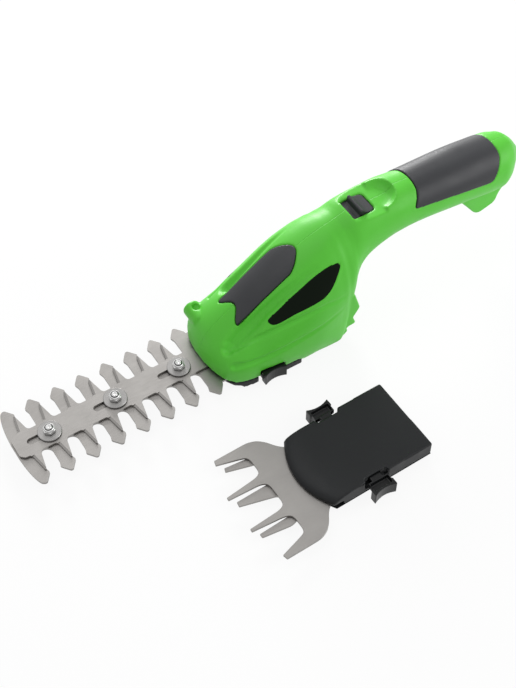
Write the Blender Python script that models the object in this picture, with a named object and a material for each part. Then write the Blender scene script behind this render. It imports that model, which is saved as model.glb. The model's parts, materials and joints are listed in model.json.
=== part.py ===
"""Cordless hedge trimmer with a docked shrub blade and a spare grass shear head.

All sizes are in millimetres and become metres when a mesh is made.
X runs from the blade's tip (minus) to the handle's end (plus), -Y is the near side, +Z is up.
The origin is on the floor below the docked cassette, on the tool's centre plane.
"""
import bpy
import bmesh
from math import ceil, cos, pi, radians, sin, sqrt
from mathutils import Matrix, Vector

MM = 0.001

# Clearances
GAP = 0.3              # between pieces that seat on each other
RUN_GAP = 0.4          # round pieces that turn or slide
SLIVER = 0.002         # corners closer than this become one

# Housing
WALL = 2.4
SPLIT_GAP = 0.3        # between the two half shells
WEB_SETBACK = 0.25     # webs, bosses and fins stop this far from the centre plane
WEB_THICKNESS = 2.0
WEB_INSET = 5.0        # webs of the motor and the cell from the piece's ends
CASSETTE_REAR_X = 36.0
DOCK_HALF_WIDTH = 25.0
DOCK_TOP_Z = 13.9
SKIRT_Z = 5.8          # lower edge of the green side wall beside the cassette
SKIRT_END_X = 14.0     # behind this the side wall reaches the floor
SKIRT_SLANT = 3.0      # half the run of the skirt's slanted end
MOUTH_HALF_WIDTH = 24.6
MOUTH_RISE = 5.2       # how far the nose lip stands above the skirt
MOUTH_DEPTH_X = -28.0
HANDLE_RADIUS = 16.6

# Each row: x, top z, bottom z, half width, height of the widest point, lower and upper corner power
BODY_SECTIONS = (
    (-39.2, 15.5, 3.0, 5.0, 9.0, 2.5, 2.1),
    (-38.7, 18.0, 0.0, 8.8, 10.0, 2.5, 2.1),
    (-38.0, 20.4, -4.0, 12.4, 11.0, 2.5, 2.1),
    (-37.0, 22.9, -7.0, 16.0, 12.5, 2.5, 2.1),
    (-35.0, 26.4, -9.0, 20.4, 14.0, 2.5, 2.0),
    (-32.0, 30.0, -10.5, 23.8, 15.0, 2.5, 2.0),
    (-28.0, 33.5, -11.5, 26.2, 15.0, 2.5, 1.95),
    (-22.0, 38.0, -11.5, 28.2, 15.0, 2.6, 1.9),
    (-14.0, 43.6, -11.5, 29.2, 15.0, 2.7, 1.85),
    (0.0, 53.2, -11.5, 30.8, 17.0, 2.6, 1.95),
    (25.0, 67.2, -11.5, 31.8, 20.0, 2.6, 2.3),
    (38.0, 72.2, -11.5, 30.4, 26.0, 3.8, 2.35),
    (43.0, 73.8, -10.0, 29.2, 31.0, 5.6, 2.25),
    (46.0, 74.6, -3.0, 28.4, 35.0, 6.0, 2.2),
    (48.5, 75.2, 8.0, 27.0, 39.0, 5.6, 2.1),
    (50.5, 75.9, 19.0, 25.4, 43.0, 4.6, 2.05),
    (52.5, 76.5, 28.0, 23.6, 47.0, 3.6, 2.0),
    (55.0, 77.4, 33.7, 21.2, 51.0, 2.7, 2.1),
    (60.0, 79.0, 38.3, 18.8, 56.0, 2.2, 2.5),
    (68.0, 80.7, 43.4, 17.8, 60.5, 2.05, 2.5),
    (78.0, 82.0, 47.3, 16.9, 63.5, 2.0, 2.3),
    (89.0, 82.4, 49.4, 16.4, 65.6, 2.0, 2.2),
    (101.0, 81.0, 49.8, 15.8, 65.4, 2.0, 2.0),
    (138.0, 79.8, 46.4, HANDLE_RADIUS, 63.0, 2.0, 2.1),
    (168.0, 77.6, 42.8, HANDLE_RADIUS, 59.8, 2.0, 2.1),
    (176.0, 77.0, 43.2, 13.0, 59.8, 2.0, 2.3),
    (181.5, 73.0, 46.4, 8.8, 59.8, 2.0, 2.1),
    (185.2, 67.6, 50.6, 5.8, 59.4, 2.0, 2.1),
    (187.2, 64.8, 53.0, 4.0, 58.8, 2.0, 2.1),
    (188.0, 61.6, 56.0, 1.8, 58.8, 2.0, 2.1),
)
BEYOND = 2 * max(row[3] for row in BODY_SECTIONS)    # runs past any side of the body
RING_STEP = 9.0        # longest distance between two rings of the outer skin
SKIN_POINTS = 12       # points from the top line to the bottom line
CAVITY_STEP = 14.0
ROUND_SIDES = 20       # facets round a large turned piece
SMALL_SIDES = 12       # facets round a bolt or shaft
SCREW_SIDES = 8        # facets round a housing screw and its boss
CAVITY_POINTS = 7
CAVITY_ROW_GAP = 4.5   # rows closer than this make no ring of the cavity

# Scoop that the thumb switch sits in
DECK_Z = 77.6
DECK_LIP_X = 61.2
DECK_FLAT_END_X = 79.0
DECK_HALF_WIDTH = 13.0
SCOOP_RADIUS = 19.0
DECK_WALL = 1.1
DECK_BACKING = 3.0     # thickness of the deck and of the scoop's rise behind it
DECK_REAR_X = 98.0
SWITCH_WINDOW = (61.8, 76.5)
SWITCH_HALF_WIDTH = 7.4
SWITCH_TRAVEL = 3.5
SWITCH_RIDGE_X = 67.7
SLIDER_THICKNESS = 1.3
SLIDER_OVERLAP = 0.9

# Inlaid dark pieces
INLAY_DEPTH = 1.5
INLAY_PROUD = 0.25
PAD_FRONT_X = -19.0
PAD_NOTCH_X = -13.5
PAD_REAR_X = 26.3
PAD_FRONT_HALF = 10.0
PAD_REAR_HALF = 10.6
BADGE_LOW_EDGE = ((-3.6, 40.4), (1.2, 40.2), (11.6, 44.0), (29.3, 48.4), (38.0, 55.7))
BADGE_FAR_DROP = 5.0   # how much lower the far plate sits
BADGE_TOP_EDGE = ((43.4, 61.6), (41.1, 63.7), (35.5, 63.2), (23.6, 58.8), (12.8, 52.6), (-1.6, 42.7))
GRIP_LOW_EDGE = ((99.5, 71.6), (155.3, 63.6))
GRIP_REAR_BOW = ((159.8, 68.3), (162.6, 73.0), (165.6, 77.5))
GRIP_FRONT_BOW = ((105.4, 80.6), (102.8, 77.2))

# Vent louvres on the belly's rear wall: upper root, tip and lower root as x, z
LOUVRES = (((51.6, 28.5), (56.4, 20.3), (52.6, 13.9)), ((52.2, 13.6), (54.3, 7.3), (48.6, 6.4)),
           ((47.9, 6.2), (48.9, 2.9), (46.4, 0.6)))
LOUVRE_ROOT = 12.0     # how far a louvre reaches back into the wall
LOUVRE_HALF_WIDTH = 26.6

# Hanging foot below the handle's end
FOOT_HALF_WIDTH = 7.0
FOOT_OUTLINE = ((141.0, 50.0), (144.0, 43.4), (149.0, 37.2), (157.0, 26.8), (161.0, 24.8),
                (171.6, 28.0), (173.6, 35.4), (178.0, 41.0), (180.0, 50.0), (174.0, 56.0))

# Drive train
GEAR_X = -3.0
GEAR_MODULE = 1.0
GEAR_TEETH = 42
PINION_TEETH = 10
GEAR_BOTTOM_Z = 16.9
GEAR_THICKNESS = 3.6
PINION_THICKNESS = 4.0
CRANK_THROW = 2.5
CRANK_PIN_RADIUS = 1.5
CRANK_PIN_BOTTOM_Z = 8.5
JOURNAL_RADIUS = 4.6
BUSH_WALL = 1.5
TOP_JOURNAL_RADIUS = 2.5
BRIDGE_Z = (21.2, 23.6)
BRIDGE_REACH = (16.0, 8.0)    # ahead of and behind the gear's axis
PLATE_THICKNESS = 2.0
GEARBOX_REAR_X = 44.0
MOTOR_RADIUS = 12.2
MOTOR_BOTTOM_Z = 25.0
MOTOR_LENGTH = 30.8
MOTOR_BOSS_RADIUS = 4.0
SHAFT_RADIUS = 1.1
SHAFT_DEPTH = 8.0      # shaft inside the motor

# Power
CELL_RADIUS = 9.2
CELL_LENGTH = 65.0
CELL_FRONT_X = 101.0
HANDLE_AXIS = (101.0, 65.8)    # a point on the handle's axis
HANDLE_DROP = 3.0 / 37.0       # fall of the handle's axis per unit of length
BOARD_X = (62.0, 86.0)
BOARD_Z = 63.0
BOARD_HALF_WIDTH = 9.0
BOARD_THICKNESS = 1.6
SWITCH_BODY_X = (66.0, 80.0)
SWITCH_BODY_HALF = 4.0
SWITCH_BODY_HEIGHT = 4.5
KNOB_X = (71.0, 74.0)
KNOB_HALF = 1.6
KNOB_BOTTOM = 2.0      # above the switch body's underside
KNOB_TOP = 7.5
LUG_THICKNESS = 1.6    # slider's lugs before and behind the knob
SOCKET_Z = 58.8
SOCKET_RADIUS = 3.6
SOCKET_BORE = 2.7
SOCKET_FLOOR = 2.0
SOCKET_LENGTH = 8.0
SOCKET_SINK = 1.4      # how far the socket lies inside the handle's end
SOCKET_PIN_RADIUS = 0.9

# Housing screws: x, z, face of the head's seat
END_SCREW_X = CELL_FRONT_X + CELL_LENGTH + 7.5
SCREWS = (("nose", -29.5, 24.5, 12.0), ("belly", 43.0, 40.0, 16.0), ("neck", 57.0, 49.0, 12.0),
          ("grip", 91.0, 60.0, 9.0), ("end", END_SCREW_X, 70.0, 6.0))
SCREW_RADIUS = 1.4
SCREW_HEAD_RADIUS = 2.8
SCREW_RECESS_RADIUS = 3.6
TURRET_RADIUS = 5.4    # raised rim of the nose screw's recess
TURRET_Y = 22.0
SCREW_HEAD_HEIGHT = 1.8
SCREW_REACH = 8.0      # how far the thread goes into the near half
BOSS_WALL = 1.5

# Blade cassette, measured from its rear edge forward and from its smooth base upward
CASSETTE_LENGTH = 74.5
CASSETTE_HALF_WIDTH = 24.6
SHRUB_TRAY_HALF_WIDTH = 26.8
FRONT_SWEEP = 8.0      # how far the front edge falls back at the sides
TRAY_FLOOR_Z = 6.2
CASSETTE_HEIGHT = 13.6
COVER_CHAMFER = 3.2
COVER_SETBACK = 1.8    # cover's front edge behind the tray's
FRONT_ROUNDING = 4.5
FLANGE_ROUNDING = 3.0  # the same for the shrub tray's wider foot
MOUTH_SLOT_HALF = 21.5
RAIL_FRONT = 60.0      # side rails end this far forward of the rear edge
PLATE_GAUGE = 1.5      # fixed plates
BLADE_GAUGE = 1.4      # moving plates
BOSS_FORWARD = 20.0    # locating bosses of the tray, from the rear edge
BOSS_SIDE = 15.5
BOSS_RADIUS = 2.5

# Shrub blade
TEETH_PER_SIDE = 8
TOOTH_PITCH = 16.0
FIRST_TOOTH_X = -41.0
BLADE_HALF_WIDTH = 27.6
BARB_Y = 22.5
BARB_HALF = 4.7
BARB_DEPTH = 3.2       # how far the barb's underside falls back to the neck
TOOTH_TIP_HALF = 0.7
NECK_HALF = 3.7
GULLET_Y = 7.3
TIP_OVERHANG = 6.1     # blade's rounded end past the last tooth
TAIL_HALF_WIDTH = 20.9
FIXED_TAIL_X = 18.0
CUTTER_HALF_WIDTH = 8.2
CUTTER_TOOTH_Y = 20.6
CUTTER_TOOTH_TIP = (1.6, 0.8)      # rear and front corner of a tip, ahead of the tooth's place
CUTTER_TOOTH_ROOT = (3.9, -1.2)    # the same where the flanks meet the root's fillets
CUTTER_ROOT_FILLET = 1.3
CUTTER_END_REACH = 7.5
CUTTER_END_CHAMFER = 2.4
CUTTER_TAIL_X = 10.0
CUTTER_SHIFT = 2.2     # the cutter's place in its stroke at rest
BOLT_FIRST_X = -52.9
BOLT_PITCH = 42.0
BOLT_COUNT = 3
BOLT_RADIUS = 1.9
BOLT_HEAD_RADIUS = 3.4
BOLT_HEAD_HEIGHT = 2.2
SLOT_FORWARD = 14.0
WASHER_RADIUS = 6.95
WASHER_THICKNESS = 1.0
NUT_FLATS = 6.6
NUT_HEIGHT = 3.2
BOLT_END = 0.8         # bolt past its nut

# Grass shear
GRASS_PLACE = (38.3, -98.6)
GRASS_HEADING = 1.2    # degrees
GRASS_PIVOT_FORWARD = 58.0
GRASS_SWING = 7.4      # degrees, place of the cutter in its swing at rest
GRASS_LATCH_FORWARD = (30.8, 45.4)
GRASS_TINE_PITCH = 23.2
GRASS_OUTER_TIP = 105.4
GRASS_INNER_TIP = 112.2
GRASS_NECK_HALF = 24.4
GRASS_SHOULDER_HALF = 36.3
GRASS_GAP_ROOT = 88.2
TINE_TIP_HALF = 1.5
SLIM_TIP_HALF = 0.9    # the two middle tines
PIVOT_RADIUS = 3.0
PIVOT_HEAD_RADIUS = 6.0
PIVOT_HEAD_HEIGHT = 2.0
PIVOT_END = 1.2        # rivet past the moving plate

# Release latches
LATCH_FORWARD = (35.2, 49.8)
LATCH_REACH = 33.6
LATCH_SCOOP = 1.8      # depth of the finger hollow
LATCH_FINGER_Y = 29.0
LATCH_Z = (1.9, 10.9)
LATCH_NECK_TOP = 5.5
LATCH_TRAVEL = 2.0
NOTCH_MARGIN = 1.2     # notch in the flank past each end of the latch
STEM_HALF = 3.6
STEM_HEAD_HALF = 5.6
STEM_END_Y = 13.0
STEM_SHOULDER_Y = 18.2
STEM_TOP = 5.5
SPRING_SEAT_Y = 5.0
SPRING_RADIUS = 1.5
SPRING_WIRE = 0.3
SPRING_TURNS = 3
SPRING_TURN_POINTS = 8
WIRE_SIDES = 4

GREEN = (0.095, 0.50, 0.060)
DARK_RUBBER = (0.050, 0.050, 0.058)
BLACK = (0.022, 0.023, 0.024)
STEEL = (0.34, 0.32, 0.30)


def clear_scene():
    for leftover in list(bpy.data.objects):
        bpy.data.objects.remove(leftover, do_unlink=True)


def plain_material(name, colour, roughness, metallic=0.0):
    made = bpy.data.materials.new(name)
    made.use_nodes = True
    shader = made.node_tree.nodes["Principled BSDF"]
    shader.inputs["Base Color"].default_value = (*colour, 1.0)
    shader.inputs["Roughness"].default_value = roughness
    shader.inputs["Metallic"].default_value = metallic
    made.diffuse_color = (*colour, 1.0)
    return made


def solid(vertices, faces, curved=False):
    """A mesh in metres from corners in millimetres, with its faces turned outward."""
    bm = bmesh.new()
    corners = [bm.verts.new(Vector(v) * MM) for v in vertices]
    for face in faces:
        bm.faces.new([corners[i] for i in face])
    if curved:
        bmesh.ops.triangulate(bm, faces=bm.faces)
    bmesh.ops.recalc_face_normals(bm, faces=bm.faces)
    mesh = bpy.data.meshes.new("solid")
    bm.to_mesh(mesh)
    bm.free()
    return mesh


def bridge(rings, curved=False):
    """Closed solid through rings with the same number of points; curved splits warped faces."""
    count = len(rings[0])
    vertices = [p for ring in rings for p in ring]
    faces = [list(range(count)), list(range((len(rings) - 1) * count, len(rings) * count))]
    for r in range(len(rings) - 1):
        for i in range(count):
            j = (i + 1) % count
            faces.append([r * count + i, r * count + j, (r + 1) * count + j, (r + 1) * count + i])
    return solid(vertices, faces, curved)


def along(axis, a, b, height):
    if axis == "X":
        return (height, a, b)
    if axis == "Y":
        return (a, height, b)
    return (a, b, height)


def prism(outline, low, high, axis="Z"):
    return bridge([[along(axis, a, b, h) for a, b in outline] for h in (low, high)])


def box(x, y, z):
    return prism([(x[0], y[0]), (x[1], y[0]), (x[1], y[1]), (x[0], y[1])], z[0], z[1])


def circle(centre, radius, count=ROUND_SIDES, turn=0.0):
    steps = [turn + 2 * pi * i / count for i in range(count)]
    return [(centre[0] + radius * cos(a), centre[1] + radius * sin(a)) for a in steps]


def arc(centre, radius, start, end, count):
    """Points on an arc between two angles in degrees."""
    steps = [radians(start + (end - start) * i / count) for i in range(count + 1)]
    return [(centre[0] + radius * cos(a), centre[1] + radius * sin(a)) for a in steps]


def turned(profile, centre, axis="Z", count=ROUND_SIDES):
    """Closed solid turned round an axis; the profile is radius, height from end to end."""
    return bridge([[along(axis, *p, h) for p in circle(centre, r, count)] for r, h in profile])


def pipe_of(radius, centre, low, high, axis="Z", count=ROUND_SIDES):
    return turned([(radius, low), (radius, high)], centre, axis, count)


def slope_at(xs, ys, i):
    """Tangent of a curve that never overshoots its points."""
    if i in (0, len(xs) - 1):
        return 0.0
    before = (ys[i] - ys[i - 1]) / (xs[i] - xs[i - 1])
    after = (ys[i + 1] - ys[i]) / (xs[i + 1] - xs[i])
    if before * after <= 0:
        return 0.0
    return 2 * before * after / (before + after)


def smooth_value(xs, ys, x):
    x = min(max(x, xs[0]), xs[-1])
    i = max(k for k in range(len(xs) - 1) if xs[k] <= x)
    width = xs[i + 1] - xs[i]
    t = (x - xs[i]) / width
    start, end = slope_at(xs, ys, i) * width, slope_at(xs, ys, i + 1) * width
    return ((2 * t**3 - 3 * t**2 + 1) * ys[i] + (t**3 - 2 * t**2 + t) * start
            + (3 * t**2 - 2 * t**3) * ys[i + 1] + (t**3 - t**2) * end)


SECTION_X = [row[0] for row in BODY_SECTIONS]
SECTION_TOP = max(row[1] for row in BODY_SECTIONS)
NOSE_X = SECTION_X[0]
END_X = SECTION_X[-1]
CAVITY_FRONT_X = NOSE_X + WALL + 1.0
CAVITY_REAR_X = END_X - WALL - 1.0


def section(x, inset=0.0):
    """Top, bottom, half width, widest height and corner powers of the body, moved in by inset."""
    top, bottom, half, widest, low_power, top_power = [
        smooth_value(SECTION_X, [row[k] for row in BODY_SECTIONS], x) for k in range(1, 7)]
    if inset > 0:
        for near in (x - inset, x + inset):
            beside = section(near)
            top, bottom, half = min(top, beside[0]), max(bottom, beside[1]), min(half, beside[2])
    return top - inset, bottom + inset, half - inset, widest, low_power, top_power


def section_points(x, count, inset=0.0, floor=None):
    """Half section as (y, z) from the top line round the side to the bottom line."""
    top, bottom, half, widest, low_power, top_power = section(x, inset)
    widest = min(max(widest, bottom + 0.5), top - 0.5)
    points = []
    for i in range(count + 1):
        angle = pi / 2 - pi * i / count
        if angle >= 0:
            y = half * cos(angle) ** (2 / top_power)
            z = widest + (top - widest) * sin(angle) ** (2 / top_power)
        else:
            y = half * cos(angle) ** (2 / low_power)
            z = widest - (widest - bottom) * sin(-angle) ** (2 / low_power)
        points.append((max(y, 0.0), z if floor is None else max(z, floor)))
    points[0] = (0.0, points[0][1])
    points[-1] = (0.0, points[-1][1])
    return points


def ring_places(start, end, step, row_gap=0.0):
    """Ring positions: the table's own rows, with more between rows that lie far apart."""
    rows = [start]
    for x in SECTION_X:
        if rows[-1] + row_gap < x < end - row_gap:
            rows.append(x)
    rows.append(end)
    places = [rows[0]]
    for a, b in zip(rows, rows[1:]):
        parts = ceil((b - a) / step)
        places += [a + (b - a) * k / parts for k in range(1, parts + 1)]
    return places


def half_body(side, places, count, inset=0.0, split=SPLIT_GAP / 2, floor=None):
    """Closed solid of one side of the body, flat on the split plane."""
    rings = []
    for x in places:
        half = section_points(x, count, inset, floor)
        rings.append([(x, side * (y + split), z) for y, z in half])
    return bridge(rings, curved=True)


def whole_body(places, count, inset, floor=None):
    rings = []
    for x in places:
        half = section_points(x, count, inset, floor)
        rings.append([(x, y, z) for y, z in half] + [(x, -y, z) for y, z in half[-2:0:-1]])
    return bridge(rings, curved=True)


def without_slivers(mesh):
    """The same mesh with corners that lie closer than a hair merged."""
    bm = bmesh.new()
    bm.from_mesh(mesh)
    bmesh.ops.remove_doubles(bm, verts=bm.verts, dist=SLIVER * MM)
    bmesh.ops.dissolve_degenerate(bm, dist=SLIVER * MM, edges=bm.edges)
    bm.to_mesh(mesh)
    bm.free()
    return mesh


def evaluated(mesh, tool, operation):
    """Mesh after one exact Boolean with the tool's mesh; both inputs are used up."""
    target_object = bpy.data.objects.new("target", mesh)
    tool_object = bpy.data.objects.new("tool", tool)
    for thing in (target_object, tool_object):
        bpy.context.scene.collection.objects.link(thing)
    step = target_object.modifiers.new("step", "BOOLEAN")
    step.operation = operation
    step.solver = "EXACT"
    step.object = tool_object
    graph = bpy.context.evaluated_depsgraph_get()
    result = bpy.data.meshes.new_from_object(target_object.evaluated_get(graph))
    for thing in (target_object, tool_object):
        bpy.data.objects.remove(thing, do_unlink=True)
    return without_slivers(result)


def cut(mesh, *tools):
    for tool in tools:
        mesh = evaluated(mesh, tool, "DIFFERENCE")
    return mesh


def fuse(mesh, *tools):
    for tool in tools:
        mesh = evaluated(mesh, tool, "UNION")
    return mesh


def common(mesh, tool):
    return evaluated(mesh, tool, "INTERSECT")


def frame(name, place=(0.0, 0.0, 0.0), parent=None, turn=None):
    """Empty that carries a moving group, on its joint's axis."""
    holder = bpy.data.objects.new(name, None)
    holder.location = Vector(place) * MM
    if turn is not None:
        holder.rotation_euler = turn
    holder.parent = parent
    bpy.context.scene.collection.objects.link(holder)
    return holder


def piece(name, mesh, finish, parent=None, origin=(0.0, 0.0, 0.0), angle=35.0):
    """One named sub-part; the origin is in its parent's frame."""
    mesh.transform(Matrix.Translation(-Vector(origin) * MM))
    mesh.name = name
    mesh.materials.clear()
    mesh.materials.append(finish)
    mesh.shade_smooth()
    mesh.set_sharp_from_angle(angle=radians(angle))
    made = bpy.data.objects.new(name, mesh)
    made.location = Vector(origin) * MM
    made.parent = parent
    bpy.context.scene.collection.objects.link(made)
    return made


def handle_axis_z(x):
    """Height of the handle's axis."""
    return HANDLE_AXIS[1] - (x - HANDLE_AXIS[0]) * HANDLE_DROP


def motor_x():
    return GEAR_X + GEAR_MODULE * (GEAR_TEETH + PINION_TEETH) / 2


def screw_column(x, z, radius, low, high):
    return pipe_of(radius, (x, z), low, high, "Y", SCREW_SIDES)


def inside_wall(rib, side):
    """What of a rib or boss lies inside one half, stopping in the middle of its wall."""
    places = ring_places(NOSE_X, END_X, CAVITY_STEP)
    return common(rib, half_body(side, places, CAVITY_POINTS, WALL / 2, 0.0))


def web(x, z, side):
    """Rib between the skin and the centre plane."""
    return inside_wall(box(x, sorted((side * WEB_SETBACK, side * BEYOND)), z), side)


def motor_envelope(clearance):
    low, high = MOTOR_BOTTOM_Z - clearance, MOTOR_BOTTOM_Z + MOTOR_LENGTH + clearance
    return pipe_of(MOTOR_RADIUS + clearance, (motor_x(), 0), low, high)


def cell_mesh(radius, clearance=0.0):
    """Battery cell laid along the sloping handle axis."""
    start, end = CELL_FRONT_X - clearance, CELL_FRONT_X + CELL_LENGTH + clearance
    rings = []
    for x, r in ((start, radius - 0.8), (start + 0.8, radius), (end - 0.8, radius), (end, radius - 0.8)):
        rings.append([(x, y, handle_axis_z(x) + z) for y, z in circle((0, 0), r)])
    return bridge(rings)


def deck_scoop():
    """Flat deck for the thumb switch that curls up into the handle behind it."""
    far = BEYOND
    rise = arc((DECK_FLAT_END_X, DECK_Z + SCOOP_RADIUS), SCOOP_RADIUS, -90, -20, 6)
    outline = [(DECK_LIP_X, DECK_Z)] + rise + [(rise[-1][0], DECK_Z + far), (DECK_LIP_X, DECK_Z + far)]
    return prism(outline, -DECK_HALF_WIDTH, DECK_HALF_WIDTH, "Y")


def deck_backing(side):
    """Material under the deck and behind its rise, so that the scoop doesn't open the cavity."""
    y = sorted((side * WEB_SETBACK, side * (DECK_HALF_WIDTH + WALL)))
    return inside_wall(box((DECK_LIP_X, DECK_REAR_X), y, (DECK_Z - DECK_BACKING, 2 * BEYOND)), side)


def louvre(edge, side):
    """Wedge-shaped vent fin across the belly's rear wall."""
    root = [(x - LOUVRE_ROOT, z) for x, z in (edge[-1], edge[0])]
    y = sorted((side * WEB_SETBACK, side * LOUVRE_HALF_WIDTH))
    return prism(list(edge) + root, *y, "Y")


def nose_turret():
    """Raised rim round the nose screw's recess on the far side."""
    _, x, z, seat = SCREWS[0]
    return pipe_of(TURRET_RADIUS, (x, z), seat, TURRET_Y, "Y")


def foot_lug(side):
    y = sorted((side * WEB_SETBACK, side * FOOT_HALF_WIDTH))
    return prism(FOOT_OUTLINE, y[0], y[1], "Y")


def mouth_arch():
    """Opening of the nose that the blades come out of."""
    outline = [(-MOUTH_HALF_WIDTH, -GAP), (MOUTH_HALF_WIDTH, -GAP)]
    steps = 12
    for i in range(steps + 1):
        y = MOUTH_HALF_WIDTH * (1 - 2 * i / steps)
        outline.append((y, SKIRT_Z + MOUTH_RISE * sqrt(max(0.0, 1 - (y / MOUTH_HALF_WIDTH) ** 2))))
    return prism(outline, NOSE_X - BEYOND, MOUTH_DEPTH_X, "X")


def latch_relief(side):
    """Room in the green side wall for the latch and its travel."""
    x = (CASSETTE_REAR_X - LATCH_FORWARD[1] - RUN_GAP, CASSETTE_REAR_X - LATCH_FORWARD[0] + RUN_GAP)
    inner = LATCH_FINGER_Y - LATCH_TRAVEL - RUN_GAP
    y = sorted((side * inner, side * BEYOND))
    return box(x, y, (-GAP, LATCH_Z[1] + RUN_GAP))


def pad_outline(grow):
    """Swallow-tailed front, bulging sides and a round rear, seen from above."""
    side = [(PAD_NOTCH_X - grow, 0.0), (PAD_NOTCH_X - 1.5 - grow, 3.4), (PAD_FRONT_X + 1.2 - grow, 6.4),
            (PAD_FRONT_X - grow, PAD_FRONT_HALF + grow), (0.0, PAD_FRONT_HALF + 0.9 + grow),
            (PAD_REAR_X - 9.0, PAD_REAR_HALF + grow), (PAD_REAR_X - 3.0, PAD_REAR_HALF - 2.6 + grow),
            (PAD_REAR_X - 0.3 + grow, 3.6), (PAD_REAR_X + grow, 0.0)]
    return side + [(x, -y) for x, y in side[-2:0:-1]]


def grown_from(points, middle, grow):
    """Outline with each corner moved away from a point inside it."""
    grown = []
    for x, z in points:
        away = Vector((x - middle[0], z - middle[1])).normalized() * grow
        grown.append((x + away.x, z + away.y))
    return grown


def badge_outline(grow, drop=0.0):
    """Leaf shape on the flank, seen from the side."""
    middle = ((BADGE_LOW_EDGE[0][0] + BADGE_TOP_EDGE[0][0]) / 2,
              (BADGE_LOW_EDGE[0][1] + BADGE_TOP_EDGE[0][1]) / 2)
    grown = grown_from(BADGE_LOW_EDGE + BADGE_TOP_EDGE, middle, grow)
    return [(x, z - drop) for x, z in grown]


def far_badge_outline(grow):
    return badge_outline(grow, BADGE_FAR_DROP)


def grip_outline(grow):
    """Insert over the handle's top, seen from the side: bowed ends and a straight lower edge."""
    above = SECTION_TOP + WALL
    points = list(GRIP_LOW_EDGE + GRIP_REAR_BOW) + [(GRIP_REAR_BOW[-1][0], above),
                                                    (GRIP_FRONT_BOW[0][0], above)] + list(GRIP_FRONT_BOW)
    middle = ((GRIP_LOW_EDGE[0][0] + GRIP_LOW_EDGE[1][0]) / 2, SECTION_TOP)
    return grown_from(points, middle, grow)


def inlay(outline_of, axis, reach, proud=INLAY_PROUD):
    """Skin-thick insert that follows the body's surface inside an outline."""
    places = ring_places(NOSE_X, END_X, RING_STEP)
    blank = common(whole_body(places, SKIN_POINTS, -proud), prism(outline_of(0.0), *reach, axis))
    return cut(blank, whole_body(places, SKIN_POINTS, INLAY_DEPTH - GAP))


def inlay_recess(outline_of, axis, reach):
    places = ring_places(NOSE_X, END_X, RING_STEP)
    return cut(prism(outline_of(GAP), *reach, axis), whole_body(places, SKIN_POINTS, INLAY_DEPTH))


PAD_REACH = (DOCK_TOP_Z + WALL, SECTION_TOP + WALL)
BADGE_OUTLINE = {-1: badge_outline, 1: far_badge_outline}
BADGE_REACH = {side: tuple(sorted((side * SWITCH_HALF_WIDTH, side * BEYOND))) for side in (-1, 1)}
GRIP_REACH = (-BEYOND, BEYOND)


def socket_x():
    """Front and rear end of the charging socket."""
    rear = END_X - SOCKET_SINK
    return rear - SOCKET_LENGTH, rear


def ribs(side):
    """Webs that hold the motor, the gear's top journal, the cell, the board and the socket."""
    full_height = (0.0, 2 * BEYOND)
    motor_span = (motor_x() - MOTOR_RADIUS - WALL, motor_x() + MOTOR_RADIUS + WALL)
    cell_rear = CELL_FRONT_X + CELL_LENGTH
    found = [web(motor_span, (z, z + WEB_THICKNESS), side)
             for z in (MOTOR_BOTTOM_Z + WEB_INSET, MOTOR_BOTTOM_Z + MOTOR_LENGTH - WEB_INSET)]
    found.append(web((GEAR_X - BRIDGE_REACH[0], GEAR_X + BRIDGE_REACH[1]), BRIDGE_Z, side))
    for x in (CELL_FRONT_X + WEB_INSET, cell_rear - WEB_INSET - WEB_THICKNESS):
        found.append(web((x, x + WEB_THICKNESS), full_height, side))
    for x in (BOARD_X[0] + WEB_THICKNESS, BOARD_X[1] - 2 * WEB_THICKNESS):
        found.append(web((x, x + WEB_THICKNESS), (DOCK_TOP_Z, BOARD_Z + WEB_INSET), side))
    x = socket_x()[0] + WEB_THICKNESS
    found.append(web((x, x + WEB_THICKNESS), (0.0, SOCKET_Z + SOCKET_RADIUS), side))
    return found


def dock_room():
    """Room for the cassette: the tray's plan below, the cover's shorter plan above."""
    split = TRAY_FLOOR_Z + GAP
    low = cassette_outline(DOCK_HALF_WIDTH, back=-GAP, inset=-GAP)
    high = cassette_outline(DOCK_HALF_WIDTH, back=-GAP, inset=COVER_SETBACK - GAP)
    return fuse(prism(shift_outline(low, CASSETTE_REAR_X), -GAP, split),
                prism(shift_outline(high, CASSETTE_REAR_X), split - GAP, DOCK_TOP_Z + SPLIT_GAP / 2))


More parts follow.
